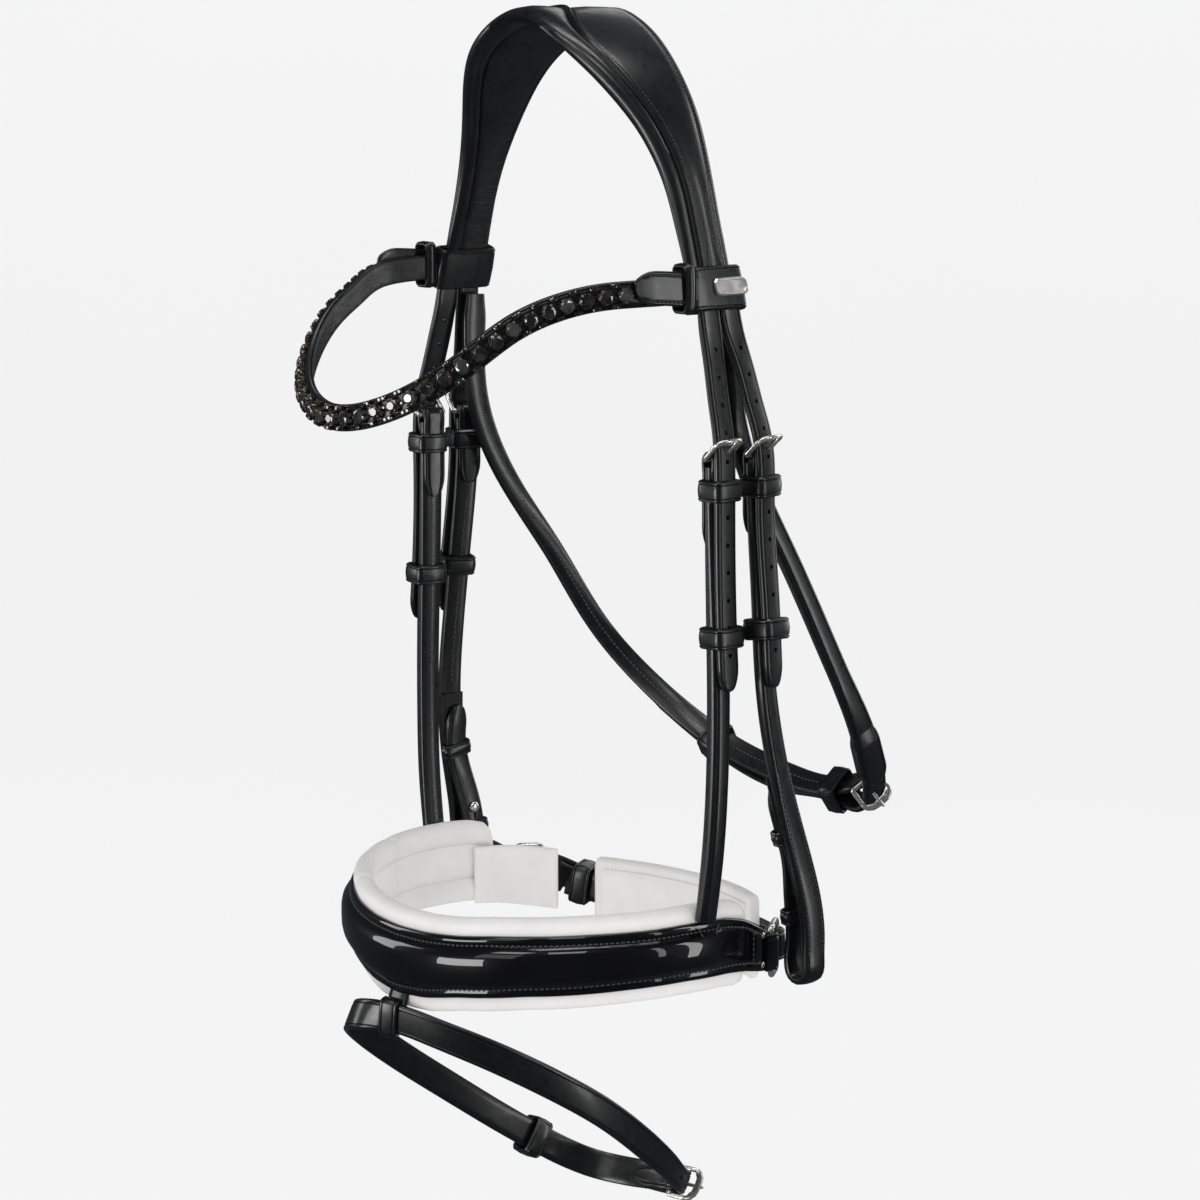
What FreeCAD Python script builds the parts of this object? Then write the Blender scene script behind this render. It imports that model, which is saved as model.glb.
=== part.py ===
"""Snaffle bridle with a padded crank noseband, a flash strap and a stone-set browband.

Frame: millimetres, +Z up, the horse looks along -Y, +X is the horse's left (near) side.
The origin is the point of the poll seat, under the crown padding, straight above the cheekpieces.
"""
import FreeCAD, Part
import math
import os

import Sketcher

from FreeCAD import Vector as V

os.makedirs("parts", exist_ok=True)
doc = FreeCAD.newDocument("bridle")

# ---------------------------------------------------------------- driving dimensions
SIZES = {
    "strap_wide": 12.5, "billet_thick": 3.2, "rolled_thick": 4.6,
    "crown_thick": 3.6, "padding_thick": 8.0,
    "throat_wide": 13.0, "flash_wide": 15.0, "flash_thick": 2.8,
    "crank_wide": 16.0, "crank_thick": 2.6, "brow_wide": 12.5, "brow_thick": 3.2,
    "keeper_wall": 1.8, "keeper_tall": 10.0, "keeper_play": 0.5,
    "loop_wall": 2.4, "loop_tall": 21.0, "loop_play": 1.8,
    "frame_wide": 17.6, "frame_long": 15.0, "frame_thick": 2.2, "frame_bar": 3.4,
    "window_wide": 13.6, "heel_radius": 1.2, "tongue_radius": 1.0, "eye_radius": 2.3,
    "hole_radius": 1.4, "hole_pitch": 13.0, "shell_thick": 2.5, "lining_thick": 9.0,
    "ring_tall": 28.0, "wire_radius": 1.5,
    "bit_loop_radius": 4.8, "leg_wide": 26.3, "stone_pitch": 9.2, "stone_radius": 3.5,
}
sheet = doc.addObject("Spreadsheet::Sheet", "Sizes")
for row, (alias, value) in enumerate(SIZES.items(), start=1):
    sheet.set("A%d" % row, alias)
    sheet.set("B%d" % row, str(value))
    sheet.setAlias("B%d" % row, alias)
doc.recompute()


def size(alias):
    """Read one driving dimension back from the spreadsheet."""
    return float(sheet.get(alias))


NODES = []


def keep(piece, label):
    """Give a finished sub-part its file name."""
    piece.Label = label
    NODES.append(piece)
    return piece


def computed(label, shape):
    """A sub-part whose shape is worked out from the sheet by this script."""
    piece = doc.addObject("Part::Feature", label)
    piece.Shape = shape
    return keep(piece, label)


def joined(label, pieces):
    """Several finished sub-parts sewn into one."""
    for piece in pieces:
        NODES.remove(piece)
    whole_piece = doc.addObject("Part::MultiFuse", label)
    whole_piece.Shapes = pieces
    return keep(whole_piece, label)


# ---------------------------------------------------------------- leather straps
def unit(vector):
    result = V(vector)
    result.normalize()
    return result


def mirrored(points):
    """The far-side twin of a list of near-side points or directions."""
    return [(-x, y, z) for x, y, z in points]


def stations(points, normals):
    """Position, width direction and outward direction at each point of a strap's centre line."""
    places = [V(*p) for p in points]
    result = []
    for i, place in enumerate(places):
        before = places[max(i - 1, 0)]
        after = places[min(i + 1, len(places) - 1)]
        along = unit(after - before)
        outward = V(*normals[i])
        outward = unit(outward - along * outward.dot(along))
        result.append((place, unit(outward.cross(along)), outward))
    return result


def refined(points, values, step=12.0):
    """Stations about step apart on the smooth line through points.

    Each station is its place, the line's direction there and its values, blended between points.
    """
    curve = Part.BSplineCurve()
    curve.interpolate([V(*p) for p in points])
    knots = [curve.parameter(V(*p)) for p in points]
    result = []
    for i in range(len(points) - 1):
        count = max(1, round((V(*points[i + 1]) - V(*points[i])).Length / step))
        shares = [k / count for k in range(count)]
        if i == len(points) - 2:
            shares.append(1.0)
        for share in shares:
            at = knots[i] + (knots[i + 1] - knots[i]) * share
            blend = [a + (b - a) * share for a, b in zip(values[i], values[i + 1])]
            result.append((curve.value(at), unit(V(*curve.tangent(at)[0])), blend))
    return result


def section(place, across, outward, wide, thick):
    """A strap's rectangular cross-section as a closed wire."""
    corners = []
    for a, b in ((-1, -1), (1, -1), (1, 1), (-1, 1)):
        corners.append(place + across * (a * wide / 2) + outward * (b * thick / 2))
    return Part.makePolygon(corners + corners[:1])


def strap(points, normals, wide, thick):
    """A flat strap through its points; wide and thick are numbers or one value per point."""
    wides = wide if isinstance(wide, list) else [wide] * len(points)
    thicks = thick if isinstance(thick, list) else [thick] * len(points)
    wires = []
    values = [list(n) + [w, t] for n, w, t in zip(normals, wides, thicks)]
    for place, along, blend in refined(points, values):
        outward = V(*blend[:3])
        outward = unit(outward - along * outward.dot(along))
        wires.append(section(place, unit(outward.cross(along)), outward, blend[3], blend[4]))
    return Part.makeLoft(wires, True, False)


def rod(start, direction, radius, length):
    return Part.makeCylinder(radius, length, start, direction)


def placement(origin, across, along):
    """Placement whose X axis runs across the strap, Y axis along it and Z axis outward."""
    x = unit(across)
    z = unit(x.cross(along))
    y = z.cross(x)
    matrix = FreeCAD.Matrix(x.x, y.x, z.x, origin.x, x.y, y.y, z.y, origin.y,
                            x.z, y.z, z.z, origin.z, 0, 0, 0, 1)
    return FreeCAD.Placement(matrix)


# ---------------------------------------------------------------- keepers, loops and buckles
def plane_of(body, role):
    return next(f for f in body.Origin.OriginFeatures if f.Role == role)


def rectangle(sketch, wide, tall):
    """A centred rectangle whose width and height follow two spreadsheet expressions."""
    first = len(sketch.Geometry)
    corner = [V(-1, -1, 0), V(1, -1, 0), V(1, 1, 0), V(-1, 1, 0)]
    for i in range(4):
        sketch.addGeometry(Part.LineSegment(corner[i] * 5, corner[(i + 1) % 4] * 5), False)
    for i in range(4):
        sketch.addConstraint(Sketcher.Constraint("Coincident", first + i, 2, first + (i + 1) % 4, 1))
    for i in (0, 2):
        sketch.addConstraint(Sketcher.Constraint("Horizontal", first + i))
        sketch.addConstraint(Sketcher.Constraint("Vertical", first + i + 1))
    sketch.addConstraint(Sketcher.Constraint("Symmetric", first, 1, first + 1, 2, -1, 1))
    for line, kind, expression in ((first, "DistanceX", wide), (first + 1, "DistanceY", tall)):
        number = sketch.addConstraint(Sketcher.Constraint(kind, line, 1, line, 2, 10.0))
        sketch.setExpression("Constraints[%d]" % number, expression)


def band(label, place, inside_wide, inside_thick, wall, tall):
    """A leather band round a strap: a pad of one rectangle inside another."""
    body = doc.addObject("PartDesign::Body", label)
    sketch = body.newObject("Sketcher::SketchObject", label + "_outline")
    sketch.AttachmentSupport = (plane_of(body, "XZ_Plane"), [""])
    sketch.MapMode = "FlatFace"
    rectangle(sketch, "%s + 2 * %s" % (inside_wide, wall), "%s + 2 * %s" % (inside_thick, wall))
    rectangle(sketch, inside_wide, inside_thick)
    pad = body.newObject("PartDesign::Pad", label + "_pad")
    pad.Profile = sketch
    pad.Midplane = True
    pad.setExpression("Length", tall)
    body.Placement = place
    return keep(body, label)


KEEPER_WIDE = "Sizes.strap_wide + 2 * Sizes.keeper_play"
RUNNER_WIDE = "Sizes.strap_wide + 5 * Sizes.keeper_play"
DOUBLE_THICK = "Sizes.billet_thick + Sizes.rolled_thick + 7 * Sizes.keeper_play"


class Buckle:
    """A flat frame with a round heel bar and a tongue, set at a tilt on the end of a strap.

    heel is the heel bar's centre, across the bar's direction, along the way the strap's end
    points, outward the side that shows. The frame leans out from the strap by tilt degrees.
    """

    def __init__(self, label, heel, across, along, outward, tilt):
        self.label = label
        self.heel = V(*heel)
        self.across = unit(V(*across))
        self.along = unit(V(*along))
        self.outward = unit(V(*outward))
        lean = math.radians(tilt)
        self.reach = unit(self.along * math.cos(lean) + self.outward * math.sin(lean))
        self.face = unit(self.outward * math.cos(lean) - self.along * math.sin(lean))
        if self.across.cross(self.reach).dot(self.face) < 0:
            self.across = self.across * -1
        top = size("frame_long") - size("frame_bar") / 2
        rest = size("frame_thick") / 2 + size("tongue_radius") + 0.12
        lift = rest * top / (size("frame_long") - size("frame_bar"))
        self.tip = self.heel + self.reach * top + self.face * lift

    def frame(self):
        label = self.label + "_frame"
        body = doc.addObject("PartDesign::Body", label)
        outline = body.newObject("Sketcher::SketchObject", label + "_outline")
        outline.AttachmentSupport = (plane_of(body, "XY_Plane"), [""])
        outline.MapMode = "FlatFace"
        half, length = size("frame_wide") / 2, size("frame_long")
        shoulder = length - 2.2
        heel_edge = -size("heel_radius") - 0.5
        outline.addGeometry(Part.LineSegment(V(-half, heel_edge, 0), V(half, heel_edge, 0)))
        outline.addGeometry(Part.LineSegment(V(half, heel_edge, 0), V(half, shoulder, 0)))
        outline.addGeometry(Part.Arc(V(half, shoulder, 0), V(0, length, 0), V(-half, shoulder, 0)))
        outline.addGeometry(Part.LineSegment(V(-half, shoulder, 0), V(-half, heel_edge, 0)))
        pad = body.newObject("PartDesign::Pad", label + "_plate")
        pad.Profile = outline
        pad.Midplane = True
        pad.setExpression("Length", "Sizes.frame_thick")
        window = body.newObject("Sketcher::SketchObject", label + "_window")
        window.AttachmentSupport = (plane_of(body, "XY_Plane"), [""])
        window.MapMode = "FlatFace"
        inner = size("window_wide") / 2
        low, high = heel_edge - 1, length - size("frame_bar")
        ring = [V(-inner, low, 0), V(inner, low, 0), V(inner, high, 0), V(-inner, high, 0)]
        for i in range(4):
            window.addGeometry(Part.LineSegment(ring[i], ring[(i + 1) % 4]))
        pocket = body.newObject("PartDesign::Pocket", label + "_opening")
        pocket.Profile = window
        pocket.Midplane = True
        pocket.Length = 20
        bar = body.newObject("PartDesign::AdditiveCylinder", label + "_heel")
        bar.setExpression("Radius", "Sizes.heel_radius")
        bar.setExpression("Height", "Sizes.frame_wide - 2")
        bar.Placement = FreeCAD.Placement(V(-half + 1, 0, 0), FreeCAD.Rotation(V(0, 1, 0), 90))
        body.Placement = placement(self.heel, self.across, self.reach)
        return keep(body, label)

    def tongue(self):
        """An eye round the heel bar with running clearance, and a pin that rests on the frame."""
        start = self.heel - self.across * 1.1
        eye = rod(start, self.across, size("eye_radius"), 2.2)
        way = unit(self.tip - self.heel)
        reach = (self.tip - self.heel).Length + 2.2
        pin = rod(self.heel + way * 1.6, way, size("tongue_radius"), reach - 1.6)
        solid = eye.fuse(pin).cut(rod(start - self.across, self.across, size("heel_radius") + 0.06, 4.4))
        return computed(self.label + "_tongue", solid.removeSplitter())

    def chape(self, wide, thick):
        """The fold of a strap round the heel bar, with the slot that the tongue turns in."""
        inner = size("heel_radius") + 0.15
        start = self.heel - self.across * (wide / 2)
        fold = rod(start, self.across, thick / 2, wide).cut(rod(start, self.across, inner, wide))
        slot = Part.makeBox(3.0, 20, 20, V(-1.5, -5, -10))
        slot.Placement = placement(self.heel, self.across, self.reach)
        return fold.cut(slot)

    def clearance(self):
        """What a strap gives up so that the tongue can pass through it and lift a little."""
        way = unit(self.tip - self.heel)
        return rod(self.heel + way * 1.0, way, size("tongue_radius") + 1.0, 16)


# ---------------------------------------------------------------- headpiece
# Half of the arch's outer line: distance from the centre, height, front edge and rear edge.
TOP = size("crown_thick") + size("padding_thick")
ARCH = [(0, TOP, -54, 11), (29, 0, -52.5, 10), (47, -13, -47, 6), (61, -30, -37, 5),
        (73, -51, -29, 3), (83, -73, -25.6, 1.2), (91, -96, -25, 1.2), (101, -131, -25, 1.3)]


def arch_layer(stop, depth, thicks, inset):
    """A layer of the headpiece from one leg to the other, depth under the outer line."""
    half = ARCH[:stop]
    line = [(-x, z, f, r) for x, z, f, r in half[::-1]] + half[1:]
    points = [(x, 0, z) for x, z, _, _ in line]
    values = [[f, r, thicks[abs(i - (len(half) - 1))]] for i, (_, _, f, r) in enumerate(line)]
    wires = []
    for place, along, (front, rear, thick) in refined(points, values):
        outward = V(-along.z, 0, along.x)
        centre = place + V(0, (front + rear) / 2, 0) - outward * (depth + thick / 2)
        wires.append(section(centre, V(0, 1, 0), outward, rear - front - 2 * inset, thick))
    return Part.makeLoft(wires, True, False)


def build_headpiece():
    thick = size("crown_thick")
    computed("crown_top", arch_layer(8, 0, [thick] * 8, 0))
    pad = size("padding_thick")
    computed("crown_padding", arch_layer(7, thick + 0.4, [pad, pad, pad, 0.9 * pad, 0.8 * pad,
                                                           0.65 * pad, 0.4 * pad], 1.5))


# ---------------------------------------------------------------- cheek side of the bridle
FRONT_BILLET = [(101, -18.2, -134), (105, -19, -150), (110.5, -20.5, -170), (114.2, -21.4, -183),
                (115.8, -22, -195), (116.1, -22, -215), (118.3, -22.2, -277), (120.5, -22.6, -302)]
FRONT_TURN = 0.07
HANGER = [(110, -21.8, -195.5), (110.2, -22, -215), (112.4, -22.3, -277), (113.6, -22.7, -320),
          (113.4, -23.2, -350), (111.4, -24, -385), (106.2, -24.4, -413)]
REAR_BILLET = [(101, -4.6, -134), (105.5, -2, -150), (111, 0.6, -170), (115, 1.9, -183),
               (116.9, 2.5, -195), (117.4, 2.5, -215), (122.2, 1.6, -260), (125.4, 0.6, -287),
               (127, 0.2, -302)]
REAR_TURN = 0.2
CHEEK = [(111, 2.5, -195.5), (111.5, 2.5, -215), (116.3, 1.6, -260), (120.9, 0.4, -300),
         (124, 2.4, -340), (126.5, 9, -378), (127.8, 16, -408), (128, 18.5, -430),
         (128, 18.5, -440), (128, 18.5, -444.9)]


def holes(shape, path, outward, first, count):
    """Punch a row of holes into a billet, hole_pitch apart, counted down from its top."""
    edge = Part.BSplineCurve()
    edge.interpolate([V(*p) for p in path])
    spots = edge.toShape().discretize(Distance=size("hole_pitch"))
    for spot in spots[first:first + count]:
        shape = shape.cut(rod(spot - V(*outward) * 6, unit(V(*outward)), size("hole_radius"), 12))
    return shape


def crossing(points, axis, value):
    """Where a strap's smooth line crosses a plane (axis 0, 1 or 2), and its direction there."""
    curve = Part.BSplineCurve()
    curve.interpolate([V(*p) for p in points])
    low, high = curve.FirstParameter, curve.LastParameter
    rising = curve.value(high)[axis] > curve.value(low)[axis]
    for _ in range(30):
        middle = (low + high) / 2
        if (curve.value(middle)[axis] < value) == rising:
            low = middle
        else:
            high = middle
    return curve.value(low), unit(V(*curve.tangent(low)[0]))


def keeper_place(inner, outer, axis, value, outward, uneven=0.0):
    """Middle of a keeper round two straps; uneven is how much thicker the inner one is."""
    (a, along), (b, _) = crossing(inner, axis, value), crossing(outer, axis, value)
    outward = V(*outward)
    outward = unit(outward - along * outward.dot(along))
    middle = (a + b) * 0.5 - outward * uneven / 4
    return placement(middle, outward.cross(along), along)


def beside(points, normals, picks, gap):
    """Points at a distance outside a strap's line, for the end folded back along it."""
    frames = stations(points, normals)
    return [tuple(frames[i][0] + frames[i][2] * gap) for i in picks]


def build_hanger(side, word):
    """Front billet of the headpiece, its buckle and the strap that carries the noseband."""
    flip = (lambda pts: pts) if side > 0 else mirrored
    billet, hanger = flip(FRONT_BILLET), flip(HANGER)
    face = (side, FRONT_TURN, 0)
    out = [(side, 0, 0.28)] + [face] * 7
    buckle = Buckle("hanger_buckle_" + word, (side * 110, -21.8, -193), (-side * FRONT_TURN, 1, 0),
                    (0, 0, 1), face, 45)
    leather = strap(billet, out, size("strap_wide"), size("billet_thick"))
    leather = holes(leather, billet, (side, 0, 0), 1, 3)
    leather = holes(leather, billet, (side, 0, 0), 6, 6)
    computed("noseband_billet_" + word, leather.cut(buckle.clearance()))
    lower = strap(hanger, [face] * 7, size("strap_wide"), size("rolled_thick"))
    fold = buckle.chape(size("strap_wide"), 2 * (size("heel_radius") + 2.2))
    slot = rod(buckle.heel - buckle.across * 1.5, buckle.across, size("eye_radius") + 0.4, 3)
    lower = lower.cut(rod(buckle.heel - buckle.across * 9, buckle.across,
                          size("heel_radius") + 0.15, 18)).cut(slot)
    computed("noseband_hanger_" + word, lower.fuse(fold).removeSplitter())
    buckle.frame()
    buckle.tongue()
    uneven = size("rolled_thick") - size("billet_thick")
    band("hanger_keeper_" + word, keeper_place(hanger, billet, 2, -208, face, uneven), KEEPER_WIDE,
         DOUBLE_THICK, "Sizes.keeper_wall", "Sizes.keeper_tall")
    band("hanger_runner_" + word, keeper_place(hanger, billet, 2, -277, face, uneven), RUNNER_WIDE,
         DOUBLE_THICK, "Sizes.keeper_wall", "Sizes.keeper_tall")


def swept(points, amount):
    """Lower end of a cheekpiece let hang back by amount, growing from the sixth point down."""
    shares = [0, 0, 0, 0, 0.35, 0.7, 0.9, 1, 1, 1]
    return [(x, y + amount * share, z) for (x, y, z), share in zip(points, shares)]


def build_cheek(side, word, sweep):
    """Rear billet, its buckle and the cheekpiece that carries the bit."""
    flip = (lambda pts: pts) if side > 0 else mirrored
    billet, cheek = flip(REAR_BILLET), flip(swept(CHEEK, sweep))
    face = (side, REAR_TURN, 0)
    out = [(side, 0, 0.28)] + [face] * 8
    buckle = Buckle("cheek_buckle_" + word, (side * 111, 2.5, -193), (-side * REAR_TURN, 1, 0),
                    (0, 0, 1), face, 45)
    leather = strap(billet, out, size("strap_wide"), size("billet_thick"))
    leather = holes(leather, billet, (side, REAR_TURN, 0), 1, 3)
    leather = holes(leather, billet, (side, REAR_TURN, 0), 6, 6)
    computed("cheek_billet_" + word, leather.cut(buckle.clearance()))
    turn = [face] * 5 + [(side, REAR_TURN / 2, 0)] + [(side, 0, 0)] * 4
    thicks = [size("rolled_thick")] * 5 + [4.0, 3.6, 3.3, 3.2, 3.2]
    outer = strap(cheek, turn, size("strap_wide"), thicks)
    fold = buckle.chape(size("strap_wide"), 2 * (size("heel_radius") + 2.2))
    slot = rod(buckle.heel - buckle.across * 1.5, buckle.across, size("eye_radius") + 0.4, 3)
    outer = outer.cut(rod(buckle.heel - buckle.across * 9, buckle.across,
                          size("heel_radius") + 0.15, 18)).cut(slot).fuse(fold)
    # the bit loop: the strap folds up inside and comes back to the hook stud
    radius, thick, wide = size("bit_loop_radius"), size("billet_thick"), size("strap_wide")
    bottom = V(cheek[9][0], cheek[9][1], -445)
    centre = bottom - V(side * (radius + thick / 2), 0, 0)
    trim = 0.2
    start = centre - V(0, wide / 2 - trim, 0)
    across = wide - 2 * trim
    curl = rod(start, V(0, 1, 0), radius + thick - trim, across)
    curl = curl.cut(rod(start, V(0, 1, 0), radius, across))
    curl = curl.cut(Part.makeBox(40, 40, 20, start + V(-20, -10, 0)))
    for offset in (radius + trim, -radius - thick + trim):
        tail = Part.makeBox(thick - 2 * trim, across, 1.7, start + V(offset, 0, -0.2))
        curl = curl.fuse(tail)
    low = centre.x - side * (radius + thick / 2)
    y = [place[1] for place in cheek]
    inner_line = [(low, y[8], -444.9), (low, y[8], -440), (low + side * 2.2, y[6], -408),
                  (side * 121.3, (y[5] + y[6]) / 2 - 1.2, -388), (side * 121.3, y[5] - 1.8, -372),
                  (side * 119.6, y[4] + 2.6, -353)]
    inner = strap(inner_line, [(side, 0, 0)] * 6, wide, thick)
    stud_spot = V(low + side * 2.2, y[6], -408)
    inner = inner.cut(rod(stud_spot - V(8, 0, 0), V(1, 0, 0), 2.4, 16))
    inner = inner.cut(Part.makeBox(16, 1.4, 9, stud_spot - V(8, 0.7, 9)))
    computed("cheekpiece_" + word, outer.fuse([curl, inner]).removeSplitter())
    head = rod(stud_spot - V(side * 4.4, 0, 0), V(side, 0, 0), 3.1, 1.6)
    reach = abs(127.8 - 1.8 - 0.1) - abs(stud_spot.x - side * 3.2)
    shank = rod(stud_spot - V(side * 3.2, 0, 0), V(side, 0, 0), 1.5, reach)
    computed("hook_stud_" + word, shank.fuse(head).removeSplitter())
    buckle.frame()
    buckle.tongue()
    uneven = size("rolled_thick") - size("billet_thick")
    band("cheek_keeper_" + word, keeper_place(cheek, billet, 2, -208, face, uneven), KEEPER_WIDE,
         DOUBLE_THICK, "Sizes.keeper_wall", "Sizes.keeper_tall")
    band("cheek_runner_" + word, keeper_place(cheek, billet, 2, -275, face, uneven), RUNNER_WIDE,
         DOUBLE_THICK + " + 3 * Sizes.keeper_play", "Sizes.keeper_wall", "Sizes.keeper_tall")
    keepers = []
    for name, z, x, y_here in (("upper", -376, 121.3, y[5] + 0.2),
                               ("lower", -419, abs(low) + 1.2, y[6] + 1.5)):
        place = placement(V(side * x, y_here, z), V(0, 1, 0), V(0, 0, 1))
        keepers.append(band("bit_keeper_%s_%s" % (name, word), place, KEEPER_WIDE,
                            "Sizes.billet_thick + Sizes.keeper_play", "0.7",
                            "0.8 * Sizes.keeper_tall"))
    joined("bit_keepers_" + word, keepers)


# ---------------------------------------------------------------- browband
BROW = [(97.2, -29.5, -116), (96, -58, -116), (90, -74.5, -117), (81.5, -92, -121),
        (73, -113.5, -130.5), (63.5, -130.5, -144.5), (48, -144.5, -158.5), (26.5, -155, -169),
        (0, -159, -173.5)]
BROW_OUT = [(1, 0, 0), (1, -0.15, 0), (0.95, -0.3, 0), (0.92, -0.4, 0), (0.88, -0.5, 0),
            (0.75, -0.7, 0), (0.5, -0.9, 0), (0.22, -1, 0), (0, -1, 0)]


def whole(points):
    """A near-half list of points, from side to centre, made into the full line far to near."""
    return mirrored(points) + points[-2::-1]


def build_browband():
    line, out = whole(BROW), whole(BROW_OUT)
    computed("browband_strap", strap(line, out, size("brow_wide"), size("brow_thick")))
    inner = []
    for place, _, outward in stations(line, out):
        spot = place - outward * (size("brow_thick") / 2 + 0.65)
        inner.append((spot.x, spot.y, spot.z))
    computed("browband_lining", strap(inner, out, size("brow_wide") - 1.5, 1.2))
    curve = Part.BSplineCurve()
    curve.interpolate([V(*p) for p in line])
    edge = curve.toShape()
    spots = edge.discretize(Distance=size("stone_pitch"))
    cups, stones = [], []
    for spot in spots:
        if spot.y > -60:
            continue
        tangent = unit(V(*curve.tangent(curve.parameter(spot))[0]))
        outward = unit(V(spot.x * 0.9, spot.y + 62, 0))
        outward = unit(outward - tangent * outward.dot(tangent))
        base = spot + outward * (size("brow_thick") / 2 + 0.1)
        cups.append(rod(base, outward, size("stone_radius") + 0.4, 1.4))
        stones.append(Part.makeCone(size("stone_radius"), 2.2, 1.8, base + outward * 1.45, outward))
    computed("browband_cups", Part.Compound(cups))
    computed("browband_stones", Part.Compound(stones))
    lean = unit(V(91 - 101, 0, -96 + 131))
    for side, word in ((1, "near"), (-1, "far")):
        along = V(side * lean.x, 0, lean.z)
        outward = V(side * lean.z, 0, -lean.x)
        middle = V(side * 96.8, -11.9, -116) - outward * size("crown_thick") / 2
        round_leg = band("loop_band_" + word, placement(middle, V(0, 1, 0), along),
                         "Sizes.leg_wide + 2 * Sizes.loop_play",
                         "Sizes.crown_thick + Sizes.loop_play",
                         "Sizes.loop_wall", "Sizes.loop_tall")
        points = [(side * 101.1, -28, -115), (side * 100.4, -50, -113.6), (side * 99.7, -61, -113.2)]
        tab = computed("loop_tab_" + word, strap(points, [(side, -0.1, 0)] * 3, [14, 14, 6], 2.0))
        joined("browband_loop_" + word, [round_leg, tab])
        plate = placement(middle + outward * (size("crown_thick") / 2 + size("loop_play") / 2
                                              + size("loop_wall") + 0.7), V(0, 1, 0), along)
        if side > 0:
            badge = doc.addObject("Part::Box", "badge_plate")
            badge.Length, badge.Width, badge.Height = 20, 8.5, 1.2
            badge.Placement = plate.multiply(FreeCAD.Placement(V(-6, -4.2, -0.6),
                                                               FreeCAD.Rotation()))
            keep(badge, "badge_plate")


# ---------------------------------------------------------------- noseband
# Half of the noseband's outer line: X, Y, top edge and bottom edge of the leather.
NOSE = [(101, 22.5, -431, -451.5), (105.5, 4, -420, -447), (107, -16, -417, -445),
        (103.5, -52, -416, -444), (91, -80, -416, -445), (70, -105, -417, -446.5),
        (40, -122.5, -420, -450.5), (0, -129, -422, -456)]


def wall(line, inner, outer, up, down):
    """An upright band: from inner to outer off the line, up and down past its edges."""
    places = [V(x, y, 0) for x, y, _, _ in line]
    wires = []
    for i, (x, y, top, bottom) in enumerate(line):
        along = unit(places[min(i + 1, len(line) - 1)] - places[max(i - 1, 0)])
        outward = V(-along.y, along.x, 0)
        if outward.dot(V(x, y + 30, 0)) < 0:
            outward = outward * -1
        low, high = places[i] + outward * inner, places[i] + outward * outer
        ring = [V(low.x, low.y, bottom - down), V(high.x, high.y, bottom - down),
                V(high.x, high.y, top + up), V(low.x, low.y, top + up)]
        wires.append(Part.makePolygon(ring + ring[:1]))
    return Part.makeLoft(wires, True, False)


def nose_line():
    far = [(-x, y, a, b) for x, y, a, b in NOSE]
    return far + NOSE[-2::-1]


RING_FRONT, RING_REAR = (100.5, 25.0), (91.5, 37.0)
CRANK = [(91.5, 37, -442), (78, 46, -444.5), (50, 58, -448), (10, 64.5, -450.5),
         (-30, 63, -451.5), (-60, 54, -451), (-80, 44, -447.5), (-91.5, 37, -442)]
RETURN = [(-93.5, 40, -442), (-80, 51, -447.5), (-62, 61, -450.5), (-46, 68.5, -451.5),
          (-37, 71.6, -451.5), (-28, 72.8, -451.5), (0, 73.2, -450.5), (22, 71.5, -449.5)]
CHIN = [(74, 33, -421, -464), (48, 45.5, -424, -468), (9, 52.5, -427, -471),
        (-30, 51, -429.5, -472), (-60, 43, -431, -471)]


def build_ring(side, word):
    """A rectangular wire ring with rounded corners, its front bar in the noseband's end."""
    front = V(side * RING_FRONT[0], RING_FRONT[1], -442)
    rear = V(side * RING_REAR[0], RING_REAR[1], -442)
    way, rise, corner = unit(rear - front), V(0, 0, 1), 3.0
    half = size("ring_tall") / 2 - size("wire_radius")
    start, middle, end = front, (front + rear) / 2, rear
    points = [start - rise * half, start + rise * half, end + rise * half, end - rise * half]
    edges = []
    for i in range(4):
        a, b, c = points[i - 1], points[i], points[(i + 1) % 4]
        into, out = unit(b - a), unit(c - b)
        first, last = b - into * corner, b + out * corner
        knee = b + (out - into) * corner * (1 - math.sqrt(0.5))
        edges.append(Part.Arc(first, knee, last).toShape())
        edges.append(Part.LineSegment(last, c - out * corner).toShape())
    path = Part.Wire(Part.__sortEdges__(edges))
    begin = path.OrderedVertexes[0].Point
    heading = unit(path.OrderedEdges[0].tangentAt(path.OrderedEdges[0].FirstParameter))
    circle = Part.Wire(Part.Circle(begin, heading, size("wire_radius")).toShape())
    computed("noseband_ring_" + word, path.makePipeShell([circle], True, False))


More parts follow.
